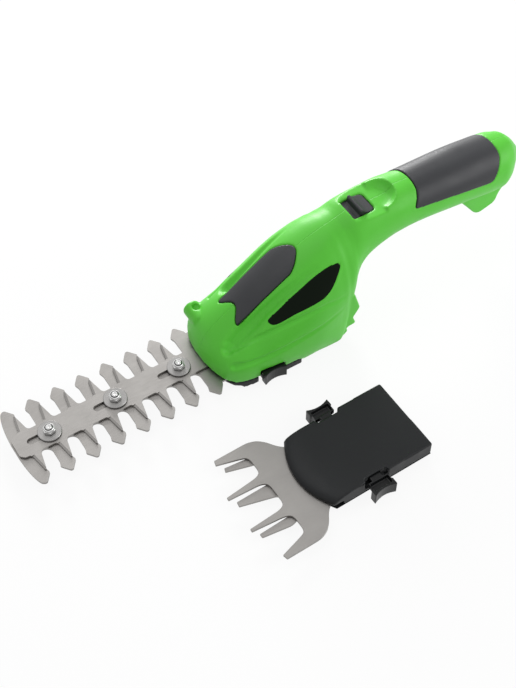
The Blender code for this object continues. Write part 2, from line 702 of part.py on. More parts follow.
def housing_half(side):
    """One moulded half shell with its webs, bosses, recesses, louvres and openings."""
    places = ring_places(NOSE_X, END_X, RING_STEP)
    shell = half_body(side, places, SKIN_POINTS, floor=0.0)
    for edge in LOUVRES:
        shell = fuse(shell, louvre(edge, side))
    shell = fuse(shell, foot_lug(side))
    if side > 0:
        shell = fuse(shell, nose_turret())
    inner_places = ring_places(CAVITY_FRONT_X, CAVITY_REAR_X, CAVITY_STEP, CAVITY_ROW_GAP)
    shell = cut(shell, half_body(side, inner_places, CAVITY_POINTS, WALL, -GAP, DOCK_TOP_Z))

    shell = fuse(shell, *ribs(side), deck_backing(side))

    for _, x, z, seat in SCREWS:
        radius = (SCREW_RECESS_RADIUS if side > 0 else SCREW_RADIUS + GAP) + BOSS_WALL
        column = screw_column(x, z, radius, *sorted((side * WEB_SETBACK, side * BEYOND)))
        shell = fuse(shell, inside_wall(column, side))
        if side > 0:
            shell = cut(shell, screw_column(x, z, SCREW_RADIUS + GAP, -GAP, BEYOND),
                        screw_column(x, z, SCREW_RECESS_RADIUS, seat, BEYOND))
        else:
            shell = cut(shell, screw_column(x, z, SCREW_RADIUS + GAP, -SCREW_REACH - GAP, GAP))

    reach = sorted((-side * GAP, side * BEYOND))
    skirt = prism([(NOSE_X - BEYOND, -GAP), (SKIRT_END_X + SKIRT_SLANT, -GAP),
                   (SKIRT_END_X - SKIRT_SLANT, SKIRT_Z), (NOSE_X - BEYOND, SKIRT_Z)], *reach, "Y")
    shell = cut(shell, dock_room(), skirt, mouth_arch(), latch_relief(side), deck_scoop())

    window = (SWITCH_WINDOW[0] - GAP, SWITCH_WINDOW[1] + GAP)
    half = SWITCH_HALF_WIDTH + GAP
    under = (SWITCH_WINDOW[0] - SLIDER_OVERLAP - SWITCH_TRAVEL - RUN_GAP,
             SWITCH_WINDOW[1] + SLIDER_OVERLAP + SWITCH_TRAVEL + RUN_GAP)
    shell = cut(
        shell,
        box(window, (-half, half), (DECK_Z - 5.0, DECK_Z + 5.0)),
        box(under, (-half - SLIDER_OVERLAP, half + SLIDER_OVERLAP),
            (DECK_Z - 2 * DECK_BACKING, DECK_Z - DECK_WALL)),
        box((BOARD_X[0] - GAP, BOARD_X[1] + GAP), (-BOARD_HALF_WIDTH - GAP, BOARD_HALF_WIDTH + GAP),
            (BOARD_Z - GAP, BOARD_Z + BOARD_THICKNESS + GAP)),
        motor_envelope(GAP),
        cell_mesh(CELL_RADIUS + GAP, GAP),
        pipe_of(TOP_JOURNAL_RADIUS + GAP, (GEAR_X, 0), BRIDGE_Z[0] - GAP, BRIDGE_Z[1] + GAP),
        pipe_of(SOCKET_RADIUS + GAP, (0, SOCKET_Z), socket_x()[0] - GAP, END_X + GAP, "X"),
        inlay_recess(pad_outline, "Z", PAD_REACH),
        inlay_recess(BADGE_OUTLINE[side], "Y", BADGE_REACH[side]),
        inlay_recess(grip_outline, "Y", GRIP_REACH),
    )
    return shell


def make_housing(finish):
    for name, side in (("housing_near", -1), ("housing_far", 1)):
        piece(name, housing_half(side), finish)


def make_inlays(rubber, gloss):
    piece("top_grip_pad", inlay(pad_outline, "Z", PAD_REACH), rubber)
    piece("handle_grip_insert", inlay(grip_outline, "Y", GRIP_REACH), rubber)
    for name, side in (("badge_plate_near", -1), ("badge_plate_far", 1)):
        piece(name, inlay(BADGE_OUTLINE[side], "Y", BADGE_REACH[side]), gloss)


def make_screws(steel):
    for name, x, z, seat in SCREWS:
        base = seat + GAP
        profile = [(0.4, -SCREW_REACH), (SCREW_RADIUS, -SCREW_REACH + 1.5), (SCREW_RADIUS, base),
                   (SCREW_HEAD_RADIUS, base), (SCREW_HEAD_RADIUS, base + 0.6 * SCREW_HEAD_HEIGHT),
                   (0.6 * SCREW_HEAD_RADIUS, base + SCREW_HEAD_HEIGHT)]
        piece("housing_screw_" + name, turned(profile, (x, z), "Y", SCREW_SIDES), steel)


def gear_outline(teeth, centre=(0.0, 0.0), turn=0.0):
    """Straight-flanked teeth, thinner than their gaps so that the pair has backlash."""
    pitch_radius = GEAR_MODULE * teeth / 2
    tip, root = pitch_radius + 0.8 * GEAR_MODULE, pitch_radius - 1.2 * GEAR_MODULE
    step = 2 * pi / teeth
    points = []
    for k in range(teeth):
        middle = turn + k * step
        for part, radius in ((-0.27, root), (-0.11, tip), (0.11, tip), (0.27, root)):
            angle = middle + part * step
            points.append((centre[0] + radius * cos(angle), centre[1] + radius * sin(angle)))
    return points


def make_drive(steel, brass, motor_grey, plastic):
    seat_z = DOCK_TOP_Z + GAP
    plate_top = seat_z + PLATE_THICKNESS
    bush_radius = JOURNAL_RADIUS + GAP + BUSH_WALL
    places = ring_places(CAVITY_FRONT_X, CAVITY_REAR_X, CAVITY_STEP, CAVITY_ROW_GAP)
    plate = common(whole_body(places, CAVITY_POINTS, WALL + 2 * GAP, DOCK_TOP_Z),
                   box((CAVITY_FRONT_X + GAP, GEARBOX_REAR_X), (-BEYOND, BEYOND),
                       (seat_z, plate_top)))
    plate = cut(plate, pipe_of(bush_radius + GAP, (GEAR_X, 0), 0.0, BEYOND))
    piece("gearbox_plate", plate, plastic)

    ring = pipe_of(bush_radius, (GEAR_X, 0), seat_z, plate_top + 0.4)
    ring = cut(ring, pipe_of(JOURNAL_RADIUS + GAP, (GEAR_X, 0), 0.0, BEYOND))
    piece("crank_bush", ring, brass)

    gear_axis = frame("gear_axis", (GEAR_X, 0.0, 0.0))
    wheel = prism(gear_outline(GEAR_TEETH), GEAR_BOTTOM_Z, GEAR_BOTTOM_Z + GEAR_THICKNESS)
    journal = pipe_of(JOURNAL_RADIUS, (0, 0), seat_z - 0.1, GEAR_BOTTOM_Z + 1.0)
    upper = pipe_of(TOP_JOURNAL_RADIUS, (0, 0), GEAR_BOTTOM_Z + 1.0, BRIDGE_Z[1] - GAP)
    crank = pipe_of(CRANK_PIN_RADIUS, (CRANK_THROW, 0), CRANK_PIN_BOTTOM_Z, GEAR_BOTTOM_Z + 0.5,
                    count=SMALL_SIDES)
    piece("drive_gear", fuse(wheel, journal, upper, crank), steel, gear_axis)

    motor_axis = frame("motor_axis", (motor_x(), 0.0, 0.0))
    turn = pi / PINION_TEETH
    small = prism(gear_outline(PINION_TEETH, turn=pi + turn), GEAR_BOTTOM_Z, GEAR_BOTTOM_Z + PINION_THICKNESS)
    shaft = pipe_of(SHAFT_RADIUS, (0, 0), GEAR_BOTTOM_Z + 1.0, MOTOR_BOTTOM_Z + SHAFT_DEPTH,
                    count=SMALL_SIDES)
    piece("motor_pinion", fuse(small, shaft), brass, motor_axis)

    top = MOTOR_BOTTOM_Z + MOTOR_LENGTH
    profile = [(MOTOR_BOSS_RADIUS, MOTOR_BOTTOM_Z - 1.4), (MOTOR_BOSS_RADIUS, MOTOR_BOTTOM_Z),
               (MOTOR_RADIUS - 0.8, MOTOR_BOTTOM_Z), (MOTOR_RADIUS, MOTOR_BOTTOM_Z + 0.8),
               (MOTOR_RADIUS, top - 0.8), (MOTOR_RADIUS - 0.8, top), (MOTOR_BOSS_RADIUS, top)]
    can = turned(profile, (motor_x(), 0))
    bore = pipe_of(SHAFT_RADIUS + GAP, (motor_x(), 0), 0.0, MOTOR_BOTTOM_Z + SHAFT_DEPTH + GAP,
                   count=SMALL_SIDES)
    piece("drive_motor", cut(can, bore), motor_grey)


def make_power(wrap, board_green, plastic):
    piece("battery_cell", cell_mesh(CELL_RADIUS), wrap)
    half = BOARD_HALF_WIDTH
    board = box(BOARD_X, (-half, half), (BOARD_Z, BOARD_Z + BOARD_THICKNESS))
    piece("control_board", board, board_green)
    base = BOARD_Z + BOARD_THICKNESS + GAP
    body = box(SWITCH_BODY_X, (-SWITCH_BODY_HALF, SWITCH_BODY_HALF), (base, base + SWITCH_BODY_HEIGHT))
    slot_x = (KNOB_X[0] - SWITCH_TRAVEL - RUN_GAP, KNOB_X[1] + RUN_GAP)
    slot_half = KNOB_HALF + RUN_GAP
    slot = box(slot_x, (-slot_half, slot_half), (base + KNOB_BOTTOM - GAP, base + 2 * SWITCH_BODY_HEIGHT))
    piece("power_switch", cut(body, slot), plastic)

    front, rear = socket_x()
    socket = pipe_of(SOCKET_RADIUS, (0, SOCKET_Z), front, rear, "X")
    bore = pipe_of(SOCKET_BORE, (0, SOCKET_Z), front + SOCKET_FLOOR, rear + GAP, "X")
    socket = cut(socket, bore)
    pin = pipe_of(SOCKET_PIN_RADIUS, (0, SOCKET_Z), front + 0.5 * SOCKET_FLOOR, rear - SOCKET_SINK, "X",
                  SCREW_SIDES)
    piece("charging_socket", fuse(socket, pin), plastic)


def make_slider(rubber, plastic):
    """Thumb slider with a cross ridge, and the switch knob that its two lugs carry along."""
    top = DECK_Z - DECK_WALL - GAP
    half = SWITCH_HALF_WIDTH + SLIDER_OVERLAP - GAP
    plate = box((SWITCH_WINDOW[0] - SLIDER_OVERLAP, SWITCH_WINDOW[1] + SLIDER_OVERLAP + SWITCH_TRAVEL),
                (-half, half), (top - SLIDER_THICKNESS, top))
    ridge_half = SWITCH_HALF_WIDTH - 0.7
    base = top - 0.5 * SLIDER_THICKNESS
    profile = [(SWITCH_RIDGE_X - 1.6, base), (SWITCH_RIDGE_X - 1.3, DECK_Z + 2.6),
               (SWITCH_RIDGE_X - 0.5, DECK_Z + 3.3), (SWITCH_RIDGE_X + 0.6, DECK_Z + 3.0),
               (SWITCH_RIDGE_X + 2.4, DECK_Z + 0.6), (SWITCH_RIDGE_X + 4.2, DECK_Z - 0.5),
               (SWITCH_RIDGE_X + 4.4, base)]
    ridge = prism(profile, -ridge_half, ridge_half, "Y")
    lug_top = top - 0.5 * SLIDER_THICKNESS
    switch_base = BOARD_Z + BOARD_THICKNESS + GAP
    lug_low = switch_base + SWITCH_BODY_HEIGHT + RUN_GAP
    lug_places = ((KNOB_X[0] - GAP - LUG_THICKNESS, KNOB_X[0] - GAP),
                  (KNOB_X[1] + GAP, KNOB_X[1] + GAP + LUG_THICKNESS))
    lugs = [box(x, (-2 * KNOB_HALF, 2 * KNOB_HALF), (lug_low, lug_top)) for x in lug_places]
    slide = frame("switch_slide_axis", (SWITCH_RIDGE_X, 0.0, DECK_Z))
    mesh = fuse(plate, ridge, *lugs)
    mesh.transform(Matrix.Translation(Vector((-SWITCH_RIDGE_X, 0.0, -DECK_Z)) * MM))
    piece("switch_slider", mesh, rubber, slide)
    knob = box((KNOB_X[0] - SWITCH_RIDGE_X, KNOB_X[1] - SWITCH_RIDGE_X), (-KNOB_HALF, KNOB_HALF),
               (switch_base + KNOB_BOTTOM - DECK_Z, switch_base + KNOB_TOP - DECK_Z))
    piece("switch_knob", knob, plastic, slide)


def front_edge(y):
    """Forward reach of the cassette's bowed front edge."""
    return CASSETTE_LENGTH - FRONT_SWEEP * (y / CASSETTE_HALF_WIDTH) ** 2


def cassette_outline(half_width, back=0.0, inset=0.0):
    """Plan of the cassette in its own frame: rear edge at x = 0, forward is -x."""
    steps = 10
    points = [(-back, half_width), (-back, -half_width)]
    for i in range(steps + 1):
        y = half_width * (2 * i / steps - 1)
        points.append((inset - front_edge(y), y))
    return points


def latch_pocket(side, forward):
    """Guide for the latch stem with a shoulder that holds its head."""
    middle = -sum(forward) / 2
    low, high = LATCH_Z[0] - RUN_GAP, TRAY_FLOOR_Z + GAP
    neck = STEM_HALF + GAP
    head = STEM_HEAD_HALF + GAP
    channel = box((middle - neck, middle + neck), sorted((side * STEM_END_Y, side * 30.0)), (low, high))
    chamber = box((middle - head, middle + head),
                  sorted((side * (STEM_END_Y - LATCH_TRAVEL - RUN_GAP), side * STEM_SHOULDER_Y)), (low, high))
    well = box((middle - SPRING_RADIUS - RUN_GAP - SPRING_WIRE, middle + SPRING_RADIUS + RUN_GAP + SPRING_WIRE),
               sorted((side * (SPRING_SEAT_Y - GAP), side * STEM_END_Y)), (low, high))
    return fuse(channel, chamber, well)


def side_notch(side, half_width, forward):
    """Hollow in the cassette's flank that the latch moves into."""
    x = (-forward[1] - NOTCH_MARGIN, -forward[0] + NOTCH_MARGIN)
    inner = CASSETTE_HALF_WIDTH - LATCH_TRAVEL - RUN_GAP
    outer = half_width + LATCH_TRAVEL
    outline = [(x[0], side * outer), (x[0] + NOTCH_MARGIN, side * inner), (x[1] - NOTCH_MARGIN, side * inner),
               (x[1], side * outer)]
    return prism(outline, -GAP, TRAY_FLOOR_Z + GAP)


def rounded_base(half_width, rounding, top):
    """Cassette's plan raised to a height, with its front edge rounded at the foot."""
    steps = [(rounding * (1 - cos(a)), rounding * (1 - sin(a))) for a in (0.0, pi / 6, pi / 3, pi / 2)]
    rings = [[(x, y, z) for x, y in cassette_outline(half_width, inset=inset)]
             for z, inset in steps]
    rings.append([(x, y, top) for x, y in cassette_outline(half_width)])
    return bridge(rings)


def tray_flange(half_width):
    """Wider foot of the shrub tray that shows as a black strip below the housing's skirt."""
    wide = rounded_base(half_width, FLANGE_ROUNDING, SKIRT_Z - GAP)
    rear = SKIRT_END_X - CASSETTE_REAR_X - 1.5 * GAP
    forward = -2 * CASSETTE_LENGTH
    slant = [(forward, -GAP), (rear + SKIRT_SLANT, -GAP), (rear - SKIRT_SLANT, SKIRT_Z), (forward, SKIRT_Z)]
    keep = prism(slant, -BEYOND, BEYOND, "Y")
    return common(wide, keep)


def make_cassette(prefix, tray_half, latch_forward, holder, finish, rivet=False):
    """Smooth base tray with rails and bosses, and the cover that faces the tool."""
    tray = rounded_base(CASSETTE_HALF_WIDTH, FRONT_ROUNDING, TRAY_FLOOR_Z)
    if tray_half > CASSETTE_HALF_WIDTH:
        tray = fuse(tray, tray_flange(tray_half))
    cover_low = TRAY_FLOOR_Z + GAP + PLATE_GAUGE + GAP + BLADE_GAUGE + GAP
    rail_top = cover_low - GAP
    rail_base = TRAY_FLOOR_Z - 0.5
    inner = MOUTH_SLOT_HALF
    for side in (-1, 1):
        rail = box((-RAIL_FRONT, 0.0), sorted((side * inner, side * CASSETTE_HALF_WIDTH)),
                   (rail_base, rail_top))
        boss = pipe_of(BOSS_RADIUS, (-BOSS_FORWARD, side * BOSS_SIDE), rail_base, rail_top,
                       count=SMALL_SIDES)
        tray = fuse(tray, rail, boss)
    end_wall = box((-2.5, 0.0), (-inner - 0.5, inner + 0.5), (rail_base, rail_top))
    tray = fuse(tray, end_wall)
    for side in (-1, 1):
        tray = cut(tray, side_notch(side, tray_half, latch_forward), latch_pocket(side, latch_forward))
    if rivet:
        tray = cut(tray, pipe_of(PIVOT_HEAD_RADIUS + GAP, (-GRASS_PIVOT_FORWARD, 0),
                                 TRAY_FLOOR_Z - PIVOT_HEAD_HEIGHT - GAP, BEYOND))
    piece(prefix + "_cassette_tray", tray, finish, holder)

    chamfer = COVER_CHAMFER
    lid = bridge([[(x, y, z) for x, y in cassette_outline(CASSETTE_HALF_WIDTH - narrow, back=narrow / 2,
                                                          inset=COVER_SETBACK + narrow)]
                  for narrow, z in ((0.0, cover_low), (0.0, CASSETTE_HEIGHT - chamfer),
                                    (chamfer * 0.7, CASSETTE_HEIGHT))])
    drive_hole = pipe_of(CRANK_THROW + CRANK_PIN_RADIUS + 0.9, (GEAR_X - CASSETTE_REAR_X, 0), 0.0, 30.0)
    lid = cut(lid, drive_hole)
    if rivet:
        lid = cut(lid, pipe_of(PIVOT_RADIUS + GAP, (-GRASS_PIVOT_FORWARD, 0), 0.0,
                               cover_low + PIVOT_END + GAP))
    piece(prefix + "_cassette_cover", lid, finish, holder)


def make_latch(name, side, forward, holder, finish, spring_steel):
    """Finger latch with a hollowed press face, a hollow underside and a headed stem."""
    middle = -sum(forward) / 2
    x = (-forward[1], -forward[0])
    length = x[1] - x[0]
    steps = 8
    face = []
    for i in range(steps + 1):
        along_face = 2 * i / steps - 1
        reach = LATCH_REACH - LATCH_SCOOP * (1 - along_face**2)
        face.append((middle + along_face * length / 2, side * reach))
    finger = prism([(x[0], side * LATCH_FINGER_Y)] + face + [(x[1], side * LATCH_FINGER_Y)], *LATCH_Z)
    neck_inner = CASSETTE_HALF_WIDTH + GAP
    neck = box((x[0] + 0.8, x[1] - 0.8), sorted((side * neck_inner, side * (LATCH_FINGER_Y + 0.5))),
               (LATCH_Z[0], LATCH_NECK_TOP))
    stem = box((middle - STEM_HALF, middle + STEM_HALF), sorted((side * STEM_END_Y, side * (neck_inner + 0.5))),
               (LATCH_Z[0], STEM_TOP))
    head_reach = sorted((side * STEM_END_Y, side * (STEM_SHOULDER_Y - GAP)))
    head = box((middle - STEM_HEAD_HALF, middle + STEM_HEAD_HALF), head_reach, (LATCH_Z[0], STEM_TOP))
    hollow = box((x[0] + 2.2, x[1] - 2.2), sorted((side * (neck_inner + 1.6), side * (LATCH_FINGER_Y + 0.4))),
                 (LATCH_Z[0] - GAP, LATCH_NECK_TOP - 1.4))
    axis_place = (middle, side * neck_inner, LATCH_Z[0])
    latch_axis = frame(name + "_axis", axis_place, holder)
    mesh = cut(fuse(finger, neck, stem, head), hollow)
    mesh.transform(Matrix.Translation(-Vector(axis_place) * MM))
    piece(name, mesh, finish, latch_axis)

    centre_z = (LATCH_Z[0] + STEM_TOP) / 2
    start, end = SPRING_SEAT_Y + SPRING_WIRE, STEM_END_Y - GAP - SPRING_WIRE
    count = SPRING_TURNS * SPRING_TURN_POINTS
    rings = []
    for i in range(count + 1):
        angle = 2 * pi * i / SPRING_TURN_POINTS
        out = Vector((cos(angle), 0.0, sin(angle)))
        centre = Vector((middle, side * (start + (end - start) * i / count), centre_z)) + out * SPRING_RADIUS
        ring = []
        for k in range(WIRE_SIDES):
            lean = 2 * pi * k / WIRE_SIDES
            offset = out * cos(lean) + Vector((0.0, sin(lean), 0.0))
            ring.append(tuple(centre + offset * SPRING_WIRE))
        rings.append(ring)
    piece(name + "_spring", bridge(rings), spring_steel, holder)


def mirror_outline(side):
    """Close an outline whose points run along one side, from rear to tip."""
    return side + [(x, -y) for x, y in reversed(side) if abs(y) > 0.01]


def fixed_blade_outline():
    """Comb of barbed teeth on a straight back, one side from the tail to the rounded end."""
    side = [(FIXED_TAIL_X, TAIL_HALF_WIDTH), (FIRST_TOOTH_X + BARB_HALF, TAIL_HALF_WIDTH)]
    gullet = TOOTH_PITCH / 2 - NECK_HALF
    for k in range(TEETH_PER_SIDE):
        x = FIRST_TOOTH_X - k * TOOTH_PITCH
        if k > 0:
            side += [(x + NECK_HALF, BARB_Y - BARB_DEPTH)]
        side += [(x + BARB_HALF, BARB_Y), (x + TOOTH_TIP_HALF, BLADE_HALF_WIDTH),
                 (x - TOOTH_TIP_HALF, BLADE_HALF_WIDTH)]
        if k < TEETH_PER_SIDE - 1:
            side += [(x - BARB_HALF, BARB_Y), (x - NECK_HALF, BARB_Y - BARB_DEPTH)]
            side += arc((x - TOOTH_PITCH / 2, GULLET_Y + gullet), gullet, 0, -180, 6)
    last = FIRST_TOOTH_X - (TEETH_PER_SIDE - 1) * TOOTH_PITCH
    for share in (0.95, 0.8, 0.6, 0.35, 0.1):
        bow = (TIP_OVERHANG - TOOTH_TIP_HALF) * sqrt(1 - share**2)
        side.append((last - TOOTH_TIP_HALF - bow, BLADE_HALF_WIDTH * share))
    return mirror_outline(side)


def cutter_outline():
    """Moving comb: slanted pointed teeth on a narrow back with chamfered front corners."""
    root = CUTTER_HALF_WIDTH
    flank = root + CUTTER_ROOT_FILLET
    side = [(CUTTER_TAIL_X, root)]
    for k in range(1, TEETH_PER_SIDE):
        x = FIRST_TOOTH_X + CUTTER_SHIFT - k * TOOTH_PITCH
        rear, front = CUTTER_TOOTH_ROOT
        side += [(x + rear + CUTTER_ROOT_FILLET, root), (x + rear, flank),
                 (x + CUTTER_TOOTH_TIP[0], CUTTER_TOOTH_Y), (x + CUTTER_TOOTH_TIP[1], CUTTER_TOOTH_Y),
                 (x + front, flank), (x + front - CUTTER_ROOT_FILLET, root)]
    last = FIRST_TOOTH_X + CUTTER_SHIFT - (TEETH_PER_SIDE - 1) * TOOTH_PITCH
    tip = last - CUTTER_END_REACH
    side += [(tip + CUTTER_END_CHAMFER, root), (tip, root - CUTTER_END_CHAMFER)]
    return mirror_outline(side)


def stadium(x_low, x_high, half_width, count=6):
    """Long hole along X with round ends."""
    return (arc((x_high - half_width, 0), half_width, -90, 90, count)
            + arc((x_low + half_width, 0), half_width, 90, 270, count))


def shift_outline(outline, x):
    return [(a + x, b) for a, b in outline]


def make_shrub_blades(holder, steel, bright):
    to_local = -CASSETTE_REAR_X
    fixed_low = TRAY_FLOOR_Z + GAP
    fixed_top = fixed_low + PLATE_GAUGE
    cutter_low = fixed_top + GAP
    cutter_top = cutter_low + BLADE_GAUGE
    through = (0.0, 30.0)
    bolts = [BOLT_FIRST_X + to_local - k * BOLT_PITCH for k in range(BOLT_COUNT)]

    plate = prism(shift_outline(fixed_blade_outline(), to_local), fixed_low, fixed_top)
    for x in bolts:
        plate = cut(plate, pipe_of(BOLT_RADIUS + GAP, (x, 0), *through, count=SMALL_SIDES))
    for side in (-1, 1):
        plate = cut(plate, pipe_of(BOSS_RADIUS + GAP, (-BOSS_FORWARD, side * BOSS_SIDE), *through,
                                   count=SMALL_SIDES))
    piece("shrub_fixed_blade", plate, steel, holder)

    cutter = prism(shift_outline(cutter_outline(), to_local), cutter_low, cutter_top)
    reach = CRANK_THROW + CRANK_PIN_RADIUS + GAP
    gear = GEAR_X + to_local
    back_play = CRANK_THROW - CUTTER_SHIFT
    front_play = CRANK_THROW + CUTTER_SHIFT
    slot = [(gear - reach - back_play, -reach), (gear + reach + front_play, -reach),
            (gear + reach + front_play, reach), (gear - reach - back_play, reach)]
    cutter = cut(cutter, prism(slot, *through))
    for x in bolts:
        rear = BOLT_RADIUS + GAP + front_play
        cutter = cut(cutter, prism(stadium(x - SLOT_FORWARD, x + rear, BOLT_RADIUS + GAP), *through))
    slide = frame("shrub_stroke_axis", (0.0, 0.0, 0.0), holder)
    piece("shrub_cutter", cutter, steel, slide)

    for k, x in enumerate(bolts):
        washer_low = cutter_top + GAP
        washer_top = washer_low + WASHER_THICKNESS
        nut_low = washer_top + GAP
        nut_top = nut_low + NUT_HEIGHT
        hole = BOLT_RADIUS + GAP
        washer = cut(pipe_of(WASHER_RADIUS, (x, 0), washer_low, washer_top),
                     pipe_of(hole, (x, 0), *through, count=SMALL_SIDES))
        piece("guide_washer_%d" % (k + 1), washer, steel, holder)
        corner = NUT_FLATS / sqrt(3)
        nut = bridge([[(a, b, z) for a, b in circle((x, 0), r, 6, 0.3)] for r, z in (
            (corner, nut_low), (corner, nut_top - 0.5), (corner * 0.86, nut_top))])
        nut = cut(nut, pipe_of(hole, (x, 0), *through, count=SMALL_SIDES))
        piece("guide_nut_%d" % (k + 1), nut, bright, holder)
        head_top = fixed_low - GAP
        profile = [(BOLT_HEAD_RADIUS * 0.8, head_top - BOLT_HEAD_HEIGHT),
                   (BOLT_HEAD_RADIUS, head_top - 0.7 * BOLT_HEAD_HEIGHT), (BOLT_HEAD_RADIUS, head_top),
                   (BOLT_RADIUS, head_top), (BOLT_RADIUS, nut_top + BOLT_END - 0.4),
                   (BOLT_RADIUS - 0.4, nut_top + BOLT_END)]
        piece("guide_bolt_%d" % (k + 1), turned(profile, (x, 0), count=SMALL_SIDES), bright, holder)


def gap_side(tine, flank):
    """Edge of a gap from a tine's flank down to the gap's root; flank is measured from the tine's middle."""
    out = 1 if flank > 0 else -1
    root = GRASS_GAP_ROOT
    return [(-root - 4.6, tine + flank), (-root - 1.3, tine + flank + 1.2 * out),
            (-root, tine + flank + 3.6 * out)]


def grass_fixed_outline():
    """Four-tined comb on a necked plate; forward is -x, one side from the tail to the middle."""
    half_pitch = GRASS_TINE_PITCH / 2
    shoulder = GRASS_SHOULDER_HALF
    neck_x = CASSETTE_LENGTH - 4.5
    outer = 3 * half_pitch
    side = [(-BOSS_FORWARD + 2 * BOSS_RADIUS, TAIL_HALF_WIDTH), (-neck_x + 5.0, TAIL_HALF_WIDTH),
            (-neck_x + 1.5, GRASS_NECK_HALF - 1.4), (-neck_x - 1.5, GRASS_NECK_HALF + 1.8),
            (-neck_x - 4.5, GRASS_NECK_HALF + 6.4), (-neck_x - 8.4, shoulder - 1.9),
            (-neck_x - 13.4, shoulder - 0.1), (-neck_x - 18.0, shoulder)]
    side += [(-GRASS_OUTER_TIP, outer + TINE_TIP_HALF), (-GRASS_OUTER_TIP - 0.8, outer - TINE_TIP_HALF)]
    side += gap_side(outer, -5.3)
    side += reversed(gap_side(half_pitch, 2.7))
    side += [(-GRASS_INNER_TIP, half_pitch + SLIM_TIP_HALF), (-GRASS_INNER_TIP, half_pitch - SLIM_TIP_HALF)]
    side += gap_side(half_pitch, -2.0)
    return mirror_outline(side)


def grass_cutter_outline():
    """Three-tined swinging plate with a drive tail, about its pivot at the origin."""
    pivot = GRASS_PIVOT_FORWARD
    tip = GRASS_INNER_TIP - pivot - 3.0
    root = GRASS_GAP_ROOT - pivot - 2.0
    pitch = GRASS_TINE_PITCH
    tail = pivot - (CASSETTE_REAR_X - GEAR_X) + 10.0
    side = [(tail, 7.6), (6.0, 8.6), (-4.0, 13.0), (-14.0, 16.5), (-20.0, 20.0), (-26.0, 22.6),
            (-root - 2.0, pitch + 1.2), (-tip + 3.0, pitch + 0.9),
            (-tip + 2.6, pitch - TINE_TIP_HALF), (-root - 1.5, pitch - 4.6), (-root, pitch - 6.6),
            (-root, 6.6), (-root - 1.5, 4.6), (-tip, TINE_TIP_HALF)]
    return mirror_outline(side)


def turn_outline(outline, angle):
    turn = radians(angle)
    return [(x * cos(turn) - y * sin(turn), x * sin(turn) + y * cos(turn)) for x, y in outline]


def make_grass_blades(holder, steel, bright):
    fixed_low = TRAY_FLOOR_Z + GAP
    fixed_top = fixed_low + PLATE_GAUGE
    cutter_low = fixed_top + GAP
    cutter_top = cutter_low + BLADE_GAUGE
    through = (0.0, 30.0)
    pivot = (-GRASS_PIVOT_FORWARD, 0.0)
    plate = prism(grass_fixed_outline(), fixed_low, fixed_top)
    for side in (-1, 1):
        plate = cut(plate, pipe_of(BOSS_RADIUS + GAP, (-BOSS_FORWARD, side * BOSS_SIDE), *through,
                                   count=SMALL_SIDES))
    plate = cut(plate, pipe_of(PIVOT_RADIUS + GAP, pivot, *through, count=SMALL_SIDES))
    piece("grass_fixed_blade", plate, steel, holder)

    swing = frame("grass_swing_axis", (*pivot, 0.0), holder)
    cutter = prism(turn_outline(grass_cutter_outline(), GRASS_SWING), cutter_low, cutter_top)
    cutter = cut(cutter, pipe_of(PIVOT_RADIUS + GAP, (0, 0), *through, count=SMALL_SIDES))
    reach = CRANK_THROW + CRANK_PIN_RADIUS + GAP
    arm = GRASS_PIVOT_FORWARD - (CASSETTE_REAR_X - GEAR_X)
    fork = [(arm - reach, -CRANK_PIN_RADIUS - GAP), (arm + 30.0, -CRANK_PIN_RADIUS - GAP),
            (arm + 30.0, CRANK_PIN_RADIUS + GAP), (arm - reach, CRANK_PIN_RADIUS + GAP)]
    cutter = cut(cutter, prism(turn_outline(fork, GRASS_SWING), *through))
    piece("grass_cutter", cutter, steel, swing)

    head_low = TRAY_FLOOR_Z - PIVOT_HEAD_HEIGHT
    head_top = fixed_low - GAP
    profile = [(PIVOT_HEAD_RADIUS, head_low), (PIVOT_HEAD_RADIUS, head_top), (PIVOT_RADIUS, head_top),
               (PIVOT_RADIUS, cutter_top + PIVOT_END)]
    piece("grass_pivot_rivet", turned(profile, pivot), bright, holder)


def main():
    clear_scene()
    green = plain_material("green_plastic", GREEN, 0.42)
    rubber = plain_material("dark_rubber", DARK_RUBBER, 0.6)
    gloss = plain_material("badge_black", (0.004, 0.010, 0.004), 0.25)
    black = plain_material("black_plastic", BLACK, 0.5)
    steel = plain_material("blade_steel", STEEL, 0.42, 1.0)
    bright = plain_material("zinc_steel", (0.62, 0.62, 0.61), 0.28, 1.0)
    brass = plain_material("sintered_bronze", (0.42, 0.27, 0.12), 0.4, 1.0)
    motor_grey = plain_material("motor_can", (0.45, 0.45, 0.46), 0.35, 1.0)
    wrap = plain_material("cell_wrap", (0.03, 0.12, 0.45), 0.35)
    board_green = plain_material("board_laminate", (0.01, 0.16, 0.06), 0.5)

    make_housing(green)
    make_inlays(rubber, gloss)
    make_screws(bright)
    make_drive(steel, brass, motor_grey, black)
    make_power(wrap, board_green, black)
    make_slider(rubber, black)

    shrub = frame("shrub_head_frame", (CASSETTE_REAR_X, 0.0, 0.0))
    make_cassette("shrub", SHRUB_TRAY_HALF_WIDTH, LATCH_FORWARD, shrub, black)
    make_shrub_blades(shrub, steel, bright)

    turn = (pi, 0.0, radians(GRASS_HEADING))
    grass = frame("grass_head_frame", (*GRASS_PLACE, CASSETTE_HEIGHT), turn=turn)
    make_cassette("grass", CASSETTE_HALF_WIDTH, GRASS_LATCH_FORWARD, grass, black, rivet=True)
    make_grass_blades(grass, steel, bright)

    # The grass head lies upside down, so its own left and right change places.
    for name, side, forward, holder in (
            ("shrub_latch_near", -1, LATCH_FORWARD, shrub),
            ("shrub_latch_far", 1, LATCH_FORWARD, shrub),
            ("grass_latch_near", 1, GRASS_LATCH_FORWARD, grass),
            ("grass_latch_far", -1, GRASS_LATCH_FORWARD, grass)):
        make_latch(name, side, forward, holder, black, bright)


main()
